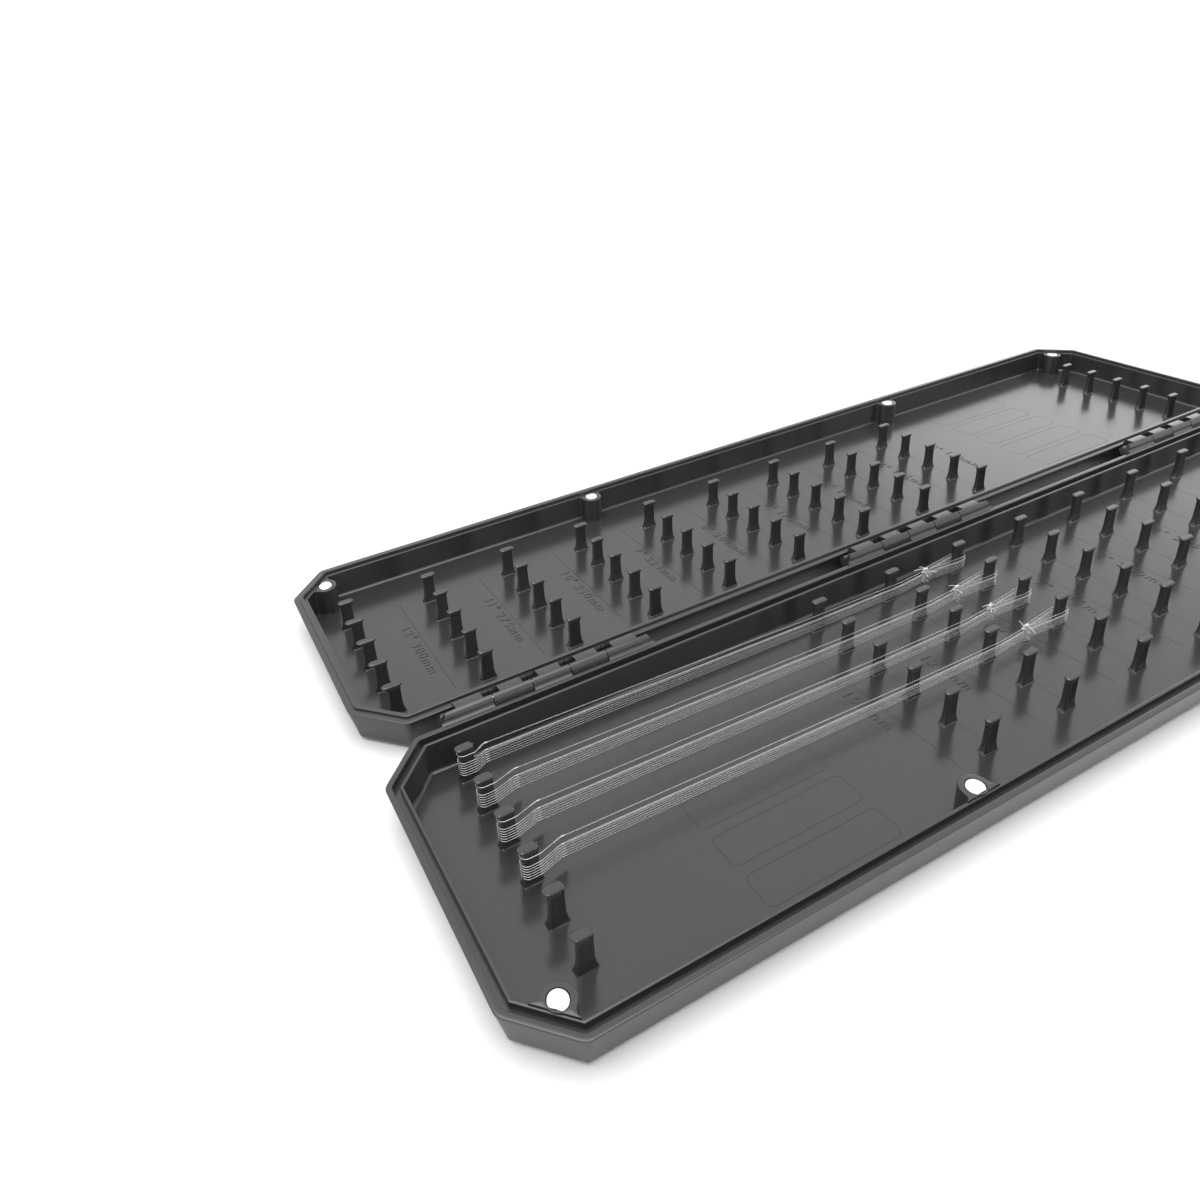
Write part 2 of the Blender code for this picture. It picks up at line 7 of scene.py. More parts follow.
import bmesh
import bpy
import numpy as np
from mathutils import Matrix, Vector
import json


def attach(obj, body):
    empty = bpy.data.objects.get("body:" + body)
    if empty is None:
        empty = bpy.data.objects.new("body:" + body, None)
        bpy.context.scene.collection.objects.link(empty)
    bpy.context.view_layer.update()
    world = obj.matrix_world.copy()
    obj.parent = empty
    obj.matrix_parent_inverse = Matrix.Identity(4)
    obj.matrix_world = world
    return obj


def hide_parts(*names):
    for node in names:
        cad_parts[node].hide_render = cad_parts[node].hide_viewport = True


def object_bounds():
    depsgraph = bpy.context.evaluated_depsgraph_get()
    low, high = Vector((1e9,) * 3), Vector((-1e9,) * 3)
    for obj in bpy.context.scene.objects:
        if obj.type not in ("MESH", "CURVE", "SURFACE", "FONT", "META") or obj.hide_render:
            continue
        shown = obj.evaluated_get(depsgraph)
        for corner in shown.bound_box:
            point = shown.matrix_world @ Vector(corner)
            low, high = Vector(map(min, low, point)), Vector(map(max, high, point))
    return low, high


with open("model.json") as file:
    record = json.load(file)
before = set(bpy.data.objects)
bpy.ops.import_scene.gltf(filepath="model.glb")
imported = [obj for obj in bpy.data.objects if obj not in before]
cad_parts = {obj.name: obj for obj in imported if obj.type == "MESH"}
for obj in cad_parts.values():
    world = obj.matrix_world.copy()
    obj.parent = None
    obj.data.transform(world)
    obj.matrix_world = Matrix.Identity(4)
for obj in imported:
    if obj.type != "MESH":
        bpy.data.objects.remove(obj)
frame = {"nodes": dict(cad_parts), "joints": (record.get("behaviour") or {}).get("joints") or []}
CAD_LOW, CAD_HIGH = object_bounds()

bl_info = {
    "name": "Fishing rig box",
    "version": (1, 0, 0),
    "blender": (4, 5, 0),
    "location": "View3D > Sidebar > Rig box",
    "description": "Builds the finished surfaces of a hinged fishing rig box",
    "category": "Object",
}

MM = 0.001
BASE, LID = -1, 1
BODY = {BASE: "base", LID: "lid"}

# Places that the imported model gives
HALF_LENGTH = CAD_HIGH.x
OUTER_EDGE = CAD_HIGH.y
AXIS_HEIGHT = frame["joints"][0]["pos_m"][2]

# Tray outline and section
AXIS_TO_WALL = 2.4 * MM
CHAMFER_LEG = 10.5 * MM
CORNER_RADIUS_MIN = 0.5 * MM
CORNER_STEPS = 8
RIM_GAP_CLOSED = 0.2 * MM
RIM_HEIGHT = AXIS_HEIGHT - RIM_GAP_CLOSED / 2
FLOOR_THICKNESS = 1.8 * MM
WALL_DRAFT = 1.8 * MM
BOTTOM_ROUND = 2.4 * MM
FLOOR_FILLET = 0.9 * MM
LEDGE_WIDTH = 1.6 * MM
LIP_WIDTH = 1.05 * MM
LIP_HEIGHT = 0.65 * MM
LIP_CLEARANCE = 0.25 * MM
GROOVE_DEPTH = 1.8 * MM
RIDGE_WIDTH = 0.75 * MM
RIDGE_DROP = 0.2 * MM
SHELF_DROP = 0.3 * MM
LIP_END = LEDGE_WIDTH + LIP_WIDTH
INNER_WALL = LIP_END + LIP_CLEARANCE + RIDGE_WIDTH
HALF_WIDTH = (OUTER_EDGE - AXIS_TO_WALL) / 2
TRAY_CENTRE = AXIS_TO_WALL + HALF_WIDTH

# Pegs
PEG_PITCH = 25.0 * MM
LINE_PITCH = 10.0 * MM
PEG_ROWS = 9
LINES = {BASE: 6, LID: 5}
FIRST_LINE = {BASE: 11.5 * MM, LID: 16.5 * MM}
PEG_HEIGHT = {BASE: 9.0 * MM, LID: 8.7 * MM}
ROW_MARGIN = 11.3 * MM
ANCHOR_MARGIN = 18.7 * MM
PEG_KNOB = 0.9 * MM
END_ROW_SHIFT = 0.9 * MM
ANCHOR_SHIFT = 0.3 * MM
PEG_HEAD_DEPTH = 0.7 * MM
PEG_CORNER_STEPS = 3
FLUTE_STEPS = 8

# Posts and magnets
POST_HEIGHT = {BASE: 8.3 * MM, LID: 7.7 * MM}
POST_INSET = 5.1 * MM
POST_FLARE = 1.2 * MM
POST_EDGE = 0.3 * MM
POST_ROOT = 0.4 * MM
POST_SINK = 0.3 * MM
POST_FOOT = 0.05 * MM
POCKET_BEVEL = 0.12 * MM
MAGNET_THICKNESS = 1.5 * MM
MAGNET_GAP = 0.15 * MM
MAGNET_BEVEL = 0.15 * MM
MAGNET_SIDES = 40
SIDE_POST = 65.0 * MM
CORNER_POST_MARGIN = 9.8 * MM

# Hinges
HINGE_MARGIN = 45.2 * MM
KNUCKLE_PITCH = 10.05 * MM
KNUCKLE_GAP = 0.26 * MM
END_KNUCKLE = 12.3 * MM
END_SLOPE = 1.5 * MM
KNUCKLE_TOP = 1.97 * MM
POCKET_WIDTH = 4.2 * MM
END_BLOCK = 6.8 * MM
WALL_LEAN = 0.03 * MM

# Floor marks: a shift is measured from the peg row that the mark belongs to
LABEL_SHIFT = {BASE: -11.9 * MM, LID: 13.9 * MM}
LABEL_LINE = 36.8 * MM
LABEL_HEIGHT = 2.8 * MM
LABEL_RAISE = 0.14 * MM
LABEL_SPACING = 1.25
CAPITAL_SHARE = 0.7
MERGE_DISTANCE = 0.002 * MM
INSERT_SHIFT = -8.7 * MM
ROW_LINE_SHIFT = 1.4 * MM
ROW_LINE_SHARE = 0.85
MARK_WIDTH = 0.13 * MM
MARK_EDGE = 0.1 * MM
MARK_SPAN = {BASE: (9.5 * MM, 62.0 * MM), LID: (17.0 * MM, 59.0 * MM)}
FLOOR_BAND = (0.02 * MM, 0.06 * MM)
PANEL_LOW = -111.2 * MM
PANEL_HIGH = -78.4 * MM
PANEL_WIDTH = 7.6 * MM
PANEL_ROUND = 1.6 * MM
PANEL_FIRST = {BASE: 14.5 * MM, LID: 9.4 * MM}
PANEL_SPAN = (9.5 * MM, 69.0 * MM)
PANEL_REACH = 20.0 * MM
PANEL_SHARE = 0.8

# Rigs
LANES = 4
HOOK_HEIGHTS = [level * MM for level in (2.2, 2.86, 3.52, 4.18, 4.84, 5.5, 7.5)]
LOOP_HEIGHTS = [level * MM for level in (1.4, 1.88, 2.36, 2.84, 3.32, 3.8, 4.8)]
CAD_LEVELS = (0, 2, 3, 5, 6)
HOOK_GAPE = 1.35 * MM
HOOK_BACK = 1.95 * MM
HOOK_REACH = [5.4 * MM, 7.8 * MM, 7.8 * MM, 7.8 * MM]
HOOK_POINT = 3.1 * MM
HOOK_POINT_TURN = 0.1 * MM
HOOK_ROUND = 0.5 * MM
HOOK_STEPS = 90
POINT_SHARE, POINT_WEIGHT = 0.10, 0.08
BARB_ROOT, BARB_TIP = 9, 6
BARB_RISE = 0.22 * MM
SHANK_START = 2.4 * MM
SLEEVE_LENGTH = 1.2 * MM
SLEEVE_END = 0.02 * MM
SLEEVE_WEIGHT = 1.7
WHIPPING_LENGTH = 1.7 * MM
WHIPPING_TURNS = 6
WHIPPING_STEPS = 33
LINE_WEIGHTS = (0.8, 0.8, 0.9, 0.9, 1.0, 2.6, 1.2)
LINE_ROUND = 1.0 * MM
LINE_STEPS = 260
LEAN = 0.05 * MM
PEG_PASS = 2.4 * MM
LOOP_ROW = 2
LOOP_SIDE = 1.33 * MM
LOOP_RUN = 1.7 * MM
LOOP_END = 2.18 * MM
LOOP_TURN = 0.7 * MM
KNOT_REACH = 13.0 * MM
KNOT_LENGTH = 1.5 * MM
KNOT_RADIUS = 0.32 * MM
KNOT_RINGS = 4
KNOT_STEPS = 25
LOW_KNOT = 0.5
TOP_KNOT_SHIFT = np.array([0.3, 0, 0.35]) * MM
TOP_KNOT_SIDE = 0.45 * MM
TAG_SAG = 0.9 * MM
TAG_TURN, TAG_SWING, TAG_SPREAD = -100, 37, 35
TOP_TAG_TURN, TOP_TAG_STEP = 97, 30

# Finishes: a gloss is the least roughness, and what the cloud and the grain add to it
PLASTIC_IOR = 1.6
PLASTIC_TINT = 1.12
TRAY_GLOSS, TRAY_CLOUD = (0.17, 0.04, 0.03), 38.0
PART_GLOSS, PART_CLOUD = (0.20, 0.05, 0.04), 60.0
GRAIN_CELLS = 2600.0
GRAIN_DEPTH = 0.004 * MM
# Share of the dull mix that paints shade into the mould's fine lines on the floor
GROOVE_SHADE_SHARE = 0.6
METAL_STREAK = 0.06
PIN_COLOUR = (0.55, 0.55, 0.56)
NYLON_CLEAR = 0.55
NYLON_ALPHA = 0.55
NYLON_IOR = 1.45
NYLON_CELLS = 300.0

# Stage in metres: lamps are place, target, size and power, and gloss and the camera see the world brighter
STAGE_REACH = 3.0
FADE_START, FADE_END = 0.19, 0.40
WORLD_LEVEL, WORLD_SEEN = 0.55, 0.75
LAMPS = {
    "overhead": ((-0.25, -0.15, 1.15), (0, 0, 0), 1.3, 15.0),
    "rear": ((1.45, 0.82, 0.42), (0.1, 0.05, 0), 0.7, 2.2),
}

# Camera, fitted to the photograph: its angles are in degrees, and lengths in the picture in its pixels
CAMERA_PLACE = (-190.95 * MM, -153.22 * MM, 147.65 * MM)
CAMERA_AZIMUTH = 24.245
CAMERA_ELEVATION = 24.263
CAMERA_ROLL = -5.06
FOCAL_PIXELS = 896.7
AXIS_PIXEL = (516.9, 439.4)
PHOTO_SIZE = 1200


class TraySizes(bpy.types.PropertyGroup):
    """Sizes of the two trays that a user would change."""

    corner_radius: bpy.props.FloatProperty(
        name="Corner radius", description="Radius of the outer corners seen from above",
        default=3.0 * MM, unit="LENGTH")
    edge_round: bpy.props.FloatProperty(
        name="Edge round", description="Radius of the small edges of the rim",
        default=0.28 * MM, unit="LENGTH")
    peg_thickness: bpy.props.FloatProperty(
        name="Peg thickness", description="Thickness of a peg across the tray",
        default=1.7 * MM, unit="LENGTH")
    post_radius: bpy.props.FloatProperty(
        name="Post radius", description="Radius of the posts that carry the magnets",
        default=3.2 * MM, unit="LENGTH")
    magnet_radius: bpy.props.FloatProperty(
        name="Magnet radius", description="Radius of the magnet discs",
        default=1.9 * MM, unit="LENGTH")


class RigSizes(bpy.types.PropertyGroup):
    """Sizes of the hooks and lines."""

    wire_radius: bpy.props.FloatProperty(
        name="Hook wire radius", description="Radius of the hook wire",
        default=0.14 * MM, unit="LENGTH")
    line_radius: bpy.props.FloatProperty(
        name="Line radius", description="Radius of the clear line",
        default=0.08 * MM, unit="LENGTH")
    tag_length: bpy.props.FloatProperty(
        name="Tag length", description="Length of the cut ends at the knots",
        default=3.2 * MM, unit="LENGTH")


class Finishes(bpy.types.PropertyGroup):
    """Colours of the materials."""

    plastic: bpy.props.FloatVectorProperty(
        name="Plastic", description="Colour of the moulded trays", subtype="COLOR",
        default=(0.030, 0.030, 0.031), min=0, max=1)
    steel: bpy.props.FloatVectorProperty(
        name="Hook steel", description="Colour of the hooks", subtype="COLOR",
        default=(0.33, 0.33, 0.33), min=0, max=1)
    nickel: bpy.props.FloatVectorProperty(
        name="Nickel", description="Colour of the magnets", subtype="COLOR",
        default=(0.93, 0.93, 0.93), min=0, max=1)
    nylon: bpy.props.FloatVectorProperty(
        name="Line", description="Colour of the clear line", subtype="COLOR",
        default=(0.70, 0.70, 0.70), min=0, max=1)
    stage: bpy.props.FloatVectorProperty(
        name="Stage", description="Colour of the floor", subtype="COLOR",
        default=(0.88, 0.88, 0.88), min=0, max=1)


class Value:
    """A number socket of a shader. Sums written with it add Math nodes."""

    def __init__(self, finish, socket):
        self.finish = finish
        self.socket = socket

    def math(self, operation, *others):
        """One Math node with this value first."""
        settings = {"operation": operation}
        return self.finish.node("ShaderNodeMath", settings, dict(enumerate((self, *others))))

    def __add__(self, other):
        return self.math("ADD", other)

    def __sub__(self, other):
        return self.math("SUBTRACT", other)

    def __rsub__(self, other):
        return self.math("MULTIPLY", -1).math("ADD", other)

    def __mul__(self, other):
        return self.math("MULTIPLY", other)

    def __truediv__(self, other):
        return self.math("DIVIDE", other)

    def __abs__(self):
        return self.math("ABSOLUTE")

    __radd__ = __add__
    __rmul__ = __mul__


class Finish:
    """A material and the nodes that feed its Principled shader."""

    def __init__(self, name, colour, roughness, metallic=0.0):
        self.material = bpy.data.materials.new(name)
        self.material.use_nodes = True
        self.material.diffuse_color = (*colour, 1)
        self.nodes = self.material.node_tree.nodes
        self.links = self.material.node_tree.links
        self.shader = self.nodes["Principled BSDF"]
        self.set("Base Color", (*colour, 1))
        self.set("Roughness", roughness)
        self.set("Metallic", metallic)

    def set(self, name, value):
        """Give one input of the shader a value or a link."""
        self.plug(self.shader.inputs[name], value)

    def plug(self, socket, value):
        """Give a socket a value, or link it to another socket."""
        if isinstance(value, Value):
            value = value.socket
        if isinstance(value, bpy.types.NodeSocket):
            self.links.new(value, socket)
        else:
            socket.default_value = value

    def node(self, kind, settings=None, inputs=None, output=0):
        """Add a node of this kind with its settings, then its inputs, and return one output."""
        made = self.nodes.new(kind)
        for name, value in (settings or {}).items():
            setattr(made, name, value)
        for name, value in (inputs or {}).items():
            self.plug(made.inputs[name], value)
        return Value(self, made.outputs[output])

    def place(self):
        """Object coordinates, as a vector and as three numbers in metres."""
        place = self.node("ShaderNodeTexCoord", output="Object")
        parts = self.node("ShaderNodeSeparateXYZ", None, {0: place}).socket.node
        return place, [Value(self, parts.outputs[axis]) for axis in "XYZ"]

    def noise(self, place, scale, detail=3.0):
        """Noise of so many cells a metre, from 0 to 1."""
        inputs = {"Vector": place, "Scale": scale, "Detail": detail}
        return self.node("ShaderNodeTexNoise", None, inputs, "Fac")

    def step(self, value, low, high, first=0.0, last=1.0):
        """A smooth step from first to last as value goes from low to high."""
        settings = {"interpolation_type": "SMOOTHSTEP"}
        inputs = {"Value": value, "From Min": low, "From Max": high, "To Min": first, "To Max": last}
        return self.node("ShaderNodeMapRange", settings, inputs)

    def bump(self, height, distance, strength):
        """A Bump node of so many metres."""
        inputs = {"Height": height, "Distance": distance, "Strength": strength}
        return self.node("ShaderNodeBump", None, inputs, "Normal")

    def paint_groove_shade(self, share, colour):
        """Mix the shader with a dull one by this share: painted shade for narrow grooves, drawn as plastic
        that holds no gloss.
        """
        dull = self.node("ShaderNodeBsdfDiffuse", None, {"Color": (*colour, 1)})
        mixed = self.node("ShaderNodeMixShader", None, {0: share, 1: self.shader.outputs[0], 2: dull})
        self.links.new(mixed.socket, self.nodes["Material Output"].inputs["Surface"])

    def tint(self, share, first, last):
        """A colour between two colours."""
        settings = {"data_type": "RGBA"}
        inputs = {0: share, 6: (*first, 1), 7: (*last, 1)}
        return self.node("ShaderNodeMix", settings, inputs, 2)


class Shape:
    """Grids of points and their caps, gathered into one mesh."""

    def __init__(self):
        self.points = []
        self.faces = []
        self.count = 0

    def add(self, grids):
        """Grids of shape (items, rows, columns, 3), closed along their columns, with caps on the end rows.

        One grid may come without the axis of items.
        """
        grids = np.asarray(grids, float)
        if grids.ndim == 3:
            grids = grids[None]
        items, rows, columns = grids.shape[:3]
        index = self.count + np.arange(items * rows * columns).reshape(items, rows, columns)
        following = np.roll(index, -1, axis=2)
        quads = np.stack([index[:, :-1], following[:, :-1], following[:, 1:], index[:, 1:]], axis=-1)
        self.faces += [quads.reshape(-1, 4), index[:, 0, ::-1], index[:, -1]]
        self.points.append(grids.reshape(-1, 3))
        self.count += items * rows * columns

    def mesh(self, name, sharp=32.0):
        """The mesh of all grids, shaded smooth up to the sharp angle."""
        points = np.concatenate(self.points).astype(np.float32)
        loops = np.concatenate([faces.ravel() for faces in self.faces]).astype(np.int32)
        sizes = np.concatenate([np.full(len(faces), faces.shape[1]) for faces in self.faces])
        made = bpy.data.meshes.new(name)
        made.vertices.add(len(points))
        made.vertices.foreach_set("co", points.ravel())
        made.loops.add(len(loops))
        made.loops.foreach_set("vertex_index", loops)
        made.polygons.add(len(sizes))
        made.polygons.foreach_set("loop_start", (np.cumsum(sizes) - sizes).astype(np.int32))
        made.update(calc_edges=True)
        made.validate()
        made.shade_smooth()
        made.set_sharp_from_angle(angle=math.radians(sharp))
        return made


def link_piece(name, mesh, material, body, replaced=()):
    """Put a piece into the scene, on its body, and hide the nodes that it stands for."""
    mesh.materials.clear()
    mesh.materials.append(material)
    piece = bpy.data.objects.new(name, mesh)
    bpy.context.scene.collection.objects.link(piece)
    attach(piece, body)
    if replaced:
        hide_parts(*replaced)


def arc(centre, radius, first, last, steps):
    """Points of a circular arc: the centre plus the radius times cosine and sine of evenly spaced turns."""
    turns = np.radians(np.linspace(first, last, steps + 1))
    return np.column_stack([centre[0] + radius * np.cos(turns), centre[1] + radius * np.sin(turns)])


def tray_outline(insets):
    """Outlines of the tray drawn in by each inset.

    Each corner is an arc about the point where the two walls beside it, moved in by the
    inset and the corner radius, meet. The walls' distances from the tray's middle are the
    half length, the half width and, for the chamfers, their distance along the diagonal.
    """
    insets = np.asarray(insets, float)[:, None]
    radius = np.maximum(bpy.context.scene.tray_sizes.corner_radius - insets, CORNER_RADIUS_MIN)
    diagonal = (HALF_LENGTH + HALF_WIDTH - CHAMFER_LEG) / math.sqrt(2)
    reach = np.array([HALF_LENGTH, diagonal, HALF_WIDTH, diagonal] * 2)[None, :] - insets - radius
    other = np.roll(reach, -1, axis=1)
    first = np.radians(45.0 * np.arange(8))[None, :]
    second = first + math.radians(45)
    spread = math.sin(math.radians(45))
    x = (reach * np.sin(second) - other * np.sin(first)) / spread
    y = (other * np.cos(first) - reach * np.cos(second)) / spread
    turns = first[:, :, None] + np.radians(np.linspace(0, 45, CORNER_STEPS + 1))[None, None, :]
    px = x[:, :, None] + radius[:, :, None] * np.cos(turns)
    py = y[:, :, None] + radius[:, :, None] * np.sin(turns)
    return px.reshape(len(insets), -1), py.reshape(len(insets), -1)


def lid_rim(edge):
    """Rim of the lid as inset and height: a flat ledge, a lip with a rounded top, and a shelf inside it."""
    top, shelf = RIM_HEIGHT + LIP_HEIGHT, RIM_HEIGHT - SHELF_DROP
    return np.vstack([
        [(LEDGE_WIDTH, RIM_HEIGHT)],
        arc((LEDGE_WIDTH + edge, top - edge), edge, 180, 90, 4),
        arc((LIP_END - edge, top - edge), edge, 90, 0, 4),
        [(LIP_END, shelf)],
        arc((INNER_WALL - edge, shelf - edge), edge, 90, 0, 4),
    ])


def base_rim(edge):
    """Rim of the base as inset and height: a flat, a groove and a rounded ridge."""
    start = LEDGE_WIDTH - LIP_CLEARANCE
    end = LIP_END + LIP_CLEARANCE
    ridge = RIM_HEIGHT - RIDGE_DROP
    return np.vstack([
        arc((start - edge / 2, RIM_HEIGHT - edge / 2), edge / 2, 90, 0, 3),
        [(start, RIM_HEIGHT - GROOVE_DEPTH), (end, RIM_HEIGHT - GROOVE_DEPTH)],
        arc((end + edge, ridge - edge), edge, 180, 90, 4),
        arc((INNER_WALL - edge, ridge - edge), edge, 90, 0, 4),
    ])


def tray_section(side):
    """Section of the tray as inset and height, from under the floor, over the rim, to the floor."""
    edge = bpy.context.scene.tray_sizes.edge_round
    rim = lid_rim(edge) if side == LID else base_rim(edge)
    return np.vstack([
        arc((WALL_DRAFT + BOTTOM_ROUND, BOTTOM_ROUND), BOTTOM_ROUND, 270, 180, 10),
        arc((edge, RIM_HEIGHT - edge), edge, 180, 90, 5),
        rim,
        arc((INNER_WALL + FLOOR_FILLET, FLOOR_THICKNESS + FLOOR_FILLET), FLOOR_FILLET, 180, 270, 8),
    ])


def tray_mesh(side):
    """The tray's section swept round its outline, with flat caps for the floor and the underside."""
    section = tray_section(side)
    x, y = tray_outline(section[:, 0])
    z = np.broadcast_to(section[:, 1:2], x.shape)
    shape = Shape()
    shape.add(np.stack([x, y + side * TRAY_CENTRE, z], axis=-1))
    return shape.mesh("tray")


def peg_rows(side):
    """Places of the nine graduated rows along X, and of the anchor row at the other end."""
    rows = -HALF_LENGTH + ROW_MARGIN + PEG_PITCH * np.arange(PEG_ROWS)
    anchor = HALF_LENGTH - ANCHOR_MARGIN
    return (rows, anchor) if side == LID else (-rows[::-1], -anchor)


def peg_lines(side):
    """Places of the peg lines along Y."""
    return side * (FIRST_LINE[side] + LINE_PITCH * np.arange(LINES[side]))


def peg_profile(height, thick):
    """Rows of a peg from foot to head: level, half length, half thickness, corner radius and flute depth.

    The lists are in millimetres. The levels of the foot are measured from the floor and
    those of the head from the top, and the third column is added to half the peg's thickness.
    """
    foot = [(-0.1, 2.38, 0.26, 0.55, 0), (0.05, 2.32, 0.18, 0.55, 0), (0.16, 2.2, 0.04, 0.46, 0),
            (0.7, 1.98, -0.04, 0.38, 0.06), (1.5, 1.74, -0.12, 0.32, 0.1), (2.7, 1.56, -0.17, 0.3, 0.1)]
    head = [(-1.9, 1.48, -0.18, 0.3, 0.1), (-1.0, 1.62, -0.16, 0.34, 0.08), (-0.66, 1.96, -0.02, 0.66, 0),
            (-0.5, 2.12, 0.05, 0.8, 0), (-0.24, 2.14, 0.06, 0.8, 0), (0, 1.88, -0.2, 0.62, 0)]
    return np.vstack([np.array(foot) * MM + (0, 0, thick / 2, 0, 0),
                      np.array(head) * MM + (height, 0, thick / 2, 0, 0)])


def peg_grid(height, thick, knob, trim=0):
    """One peg about its own middle.

    Each row of the profile is a rectangle with round corners. The long faces have shallow
    flutes: every second point there lies a flute's depth further in. The knob lengthens
    the head towards -X, and the trim shortens it towards +X.
    """
    profile = peg_profile(height, thick)
    corners = np.radians(90.0 * np.arange(4)[:, None] + np.linspace(0, 90, PEG_CORNER_STEPS + 1))
    rows = []
    for level, length, half, corner, flute in profile:
        corner = min(corner, half)
        flat, side = length - corner, half - corner
        cx, cy = np.array([flat, -flat, -flat, flat]), np.array([side, side, -side, -side])
        arcs_x = cx[:, None] + corner * np.cos(corners)
        arcs_y = cy[:, None] + corner * np.sin(corners)
        run = np.linspace(flat, -flat, FLUTE_STEPS + 2)[1:-1]
        depth = half - flute * (np.arange(FLUTE_STEPS) % 2)
        x = np.concatenate([arcs_x[0], run, arcs_x[1], arcs_x[2], -run, arcs_x[3]])
        y = np.concatenate([arcs_y[0], depth, arcs_y[1], arcs_y[2], -depth, arcs_y[3]])
        if level > height - PEG_HEAD_DEPTH:
            x = np.where(x < 0, x * (1 + knob / length), x * (1 - trim / length))
        rows.append(np.column_stack([x, y, np.full(len(x), FLOOR_THICKNESS + level)]))
    return np.array(rows)


def pegs(side, material):
    """All pegs of one tray as one piece, a copy of the grid at each place.

    The last row of the lid stands a little further in, and its heads have knobs, except by the
    outer wall. The anchor pegs of the base have heads that stand out only away from the rigs.
    """
    thick = bpy.context.scene.tray_sizes.peg_thickness
    height = PEG_HEIGHT[side]
    rows, anchor = peg_rows(side)
    lines = peg_lines(side)
    plain = peg_grid(height, thick, 0)
    if side == LID:
        first = rows[0] + END_ROW_SHIFT
        knobbed = peg_grid(height, thick, PEG_KNOB)
        groups = [(plain, [*rows[1:], anchor], lines), (plain, [first], lines[-1:]),
                  (knobbed, [first], lines[:-1])]
    else:
        lopsided = peg_grid(height, thick + ANCHOR_SHIFT, ANCHOR_SHIFT, ANCHOR_SHIFT * 2)
        groups = [(plain, rows, lines), (lopsided, [anchor + ANCHOR_SHIFT / 2], lines)]
    shape = Shape()
    for grid, places, rungs in groups:
        centres = np.array([(x, y, 0) for x in places for y in rungs])
        shape.add(grid[None] + centres[:, None, None, :])
    link_piece(BODY[side] + "_pegs", shape.mesh("pegs"), material, BODY[side])


def post_places(side):
    """Middle of each post of a tray, and the direction from it to the wall in degrees."""
    corner_x = HALF_LENGTH - CORNER_POST_MARGIN
    corner_y = HALF_LENGTH + OUTER_EDGE - CHAMFER_LEG - POST_INSET * math.sqrt(2) - corner_x
    side_y = OUTER_EDGE - POST_INSET
    places = [(-corner_x, corner_y, 135), (-SIDE_POST, side_y, 90),
              (SIDE_POST, side_y, 90), (corner_x, corner_y, 45)]
    return [(x, side * y, side * turn) for x, y, turn in places]


def post_grid(side, place):
    """A post with a round free side, which widens in a hollow curve into the wall, and a pocket in its top.

    The outline is a half circle and two curves whose half width grows with the cube of the
    way to the wall. The rows go up the outline, over the rounded edge and down the pocket.
    """
    x, y, turn = place
    sizes = bpy.context.scene.tray_sizes
    radius = sizes.post_radius
    reach = POST_INSET - INNER_WALL + POST_ROOT
    free = np.radians(np.linspace(90, 270, 25))
    share = np.linspace(0, 1, 7)[1:]
    flare = radius + POST_FLARE * share ** 3
    back = np.linspace(-flare[-1], flare[-1], 17)[1:-1]
    along = np.concatenate([radius * np.cos(free), reach * share,
                            np.full(len(back), reach), reach * share[::-1]])
    across = np.concatenate([radius * np.sin(free), -flare, back, flare[::-1]])
    angle = np.radians(turn)
    outline = np.column_stack([along * np.cos(angle) - across * np.sin(angle),
                               along * np.sin(angle) + across * np.cos(angle)])
    size = np.linalg.norm(outline, axis=1, keepdims=True)
    unit = outline / size
    hole = sizes.magnet_radius + MAGNET_GAP
    top = FLOOR_THICKNESS + POST_HEIGHT[side]
    bottom = top - MAGNET_THICKNESS - MAGNET_GAP
    edges = arc((0, top - POST_EDGE), POST_EDGE, 0, 90, 3)
    rows = [(outline, FLOOR_THICKNESS - POST_SINK), (outline, FLOOR_THICKNESS + POST_FOOT)]
    rows += [(outline - unit * (POST_EDGE - inward), level) for inward, level in edges]
    rows += [(unit * (hole + POCKET_BEVEL), top), (unit * hole, top - POCKET_BEVEL), (unit * hole, bottom)]
    return np.array([np.column_stack([x + plan[:, 0], y + plan[:, 1], np.full(len(plan), level)])
                     for plan, level in rows])


def posts(side, material):
    """The four posts of a tray."""
    shape = Shape()
    for place in post_places(side):
        shape.add(post_grid(side, place))
    link_piece(BODY[side] + "_posts", shape.mesh("posts"), material, BODY[side])


def magnet_mesh(place, side):
    """A disc turned about its own axis: its profile has a small bevel at both edges."""
    x, y, _ = place
    radius = bpy.context.scene.tray_sizes.magnet_radius
    top = FLOOR_THICKNESS + POST_HEIGHT[side]
    low = top - MAGNET_THICKNESS
    profile = np.array([(radius - MAGNET_BEVEL, low), (radius, low + MAGNET_BEVEL),
                        (radius, top - MAGNET_BEVEL), (radius - MAGNET_BEVEL, top)])
    turns = np.linspace(0, 2 * np.pi, MAGNET_SIDES, endpoint=False)
    grid = np.stack([x + profile[:, :1] * np.cos(turns), y + profile[:, :1] * np.sin(turns),
                     np.repeat(profile[:, 1:], MAGNET_SIDES, axis=1)], axis=-1)
    shape = Shape()
    shape.add(grid)
    return shape.mesh("magnet")


def hinge_centres():
    """Places of the three hinges along X."""
    offset = HALF_LENGTH - HINGE_MARGIN
    return np.array([-offset, 0, offset])


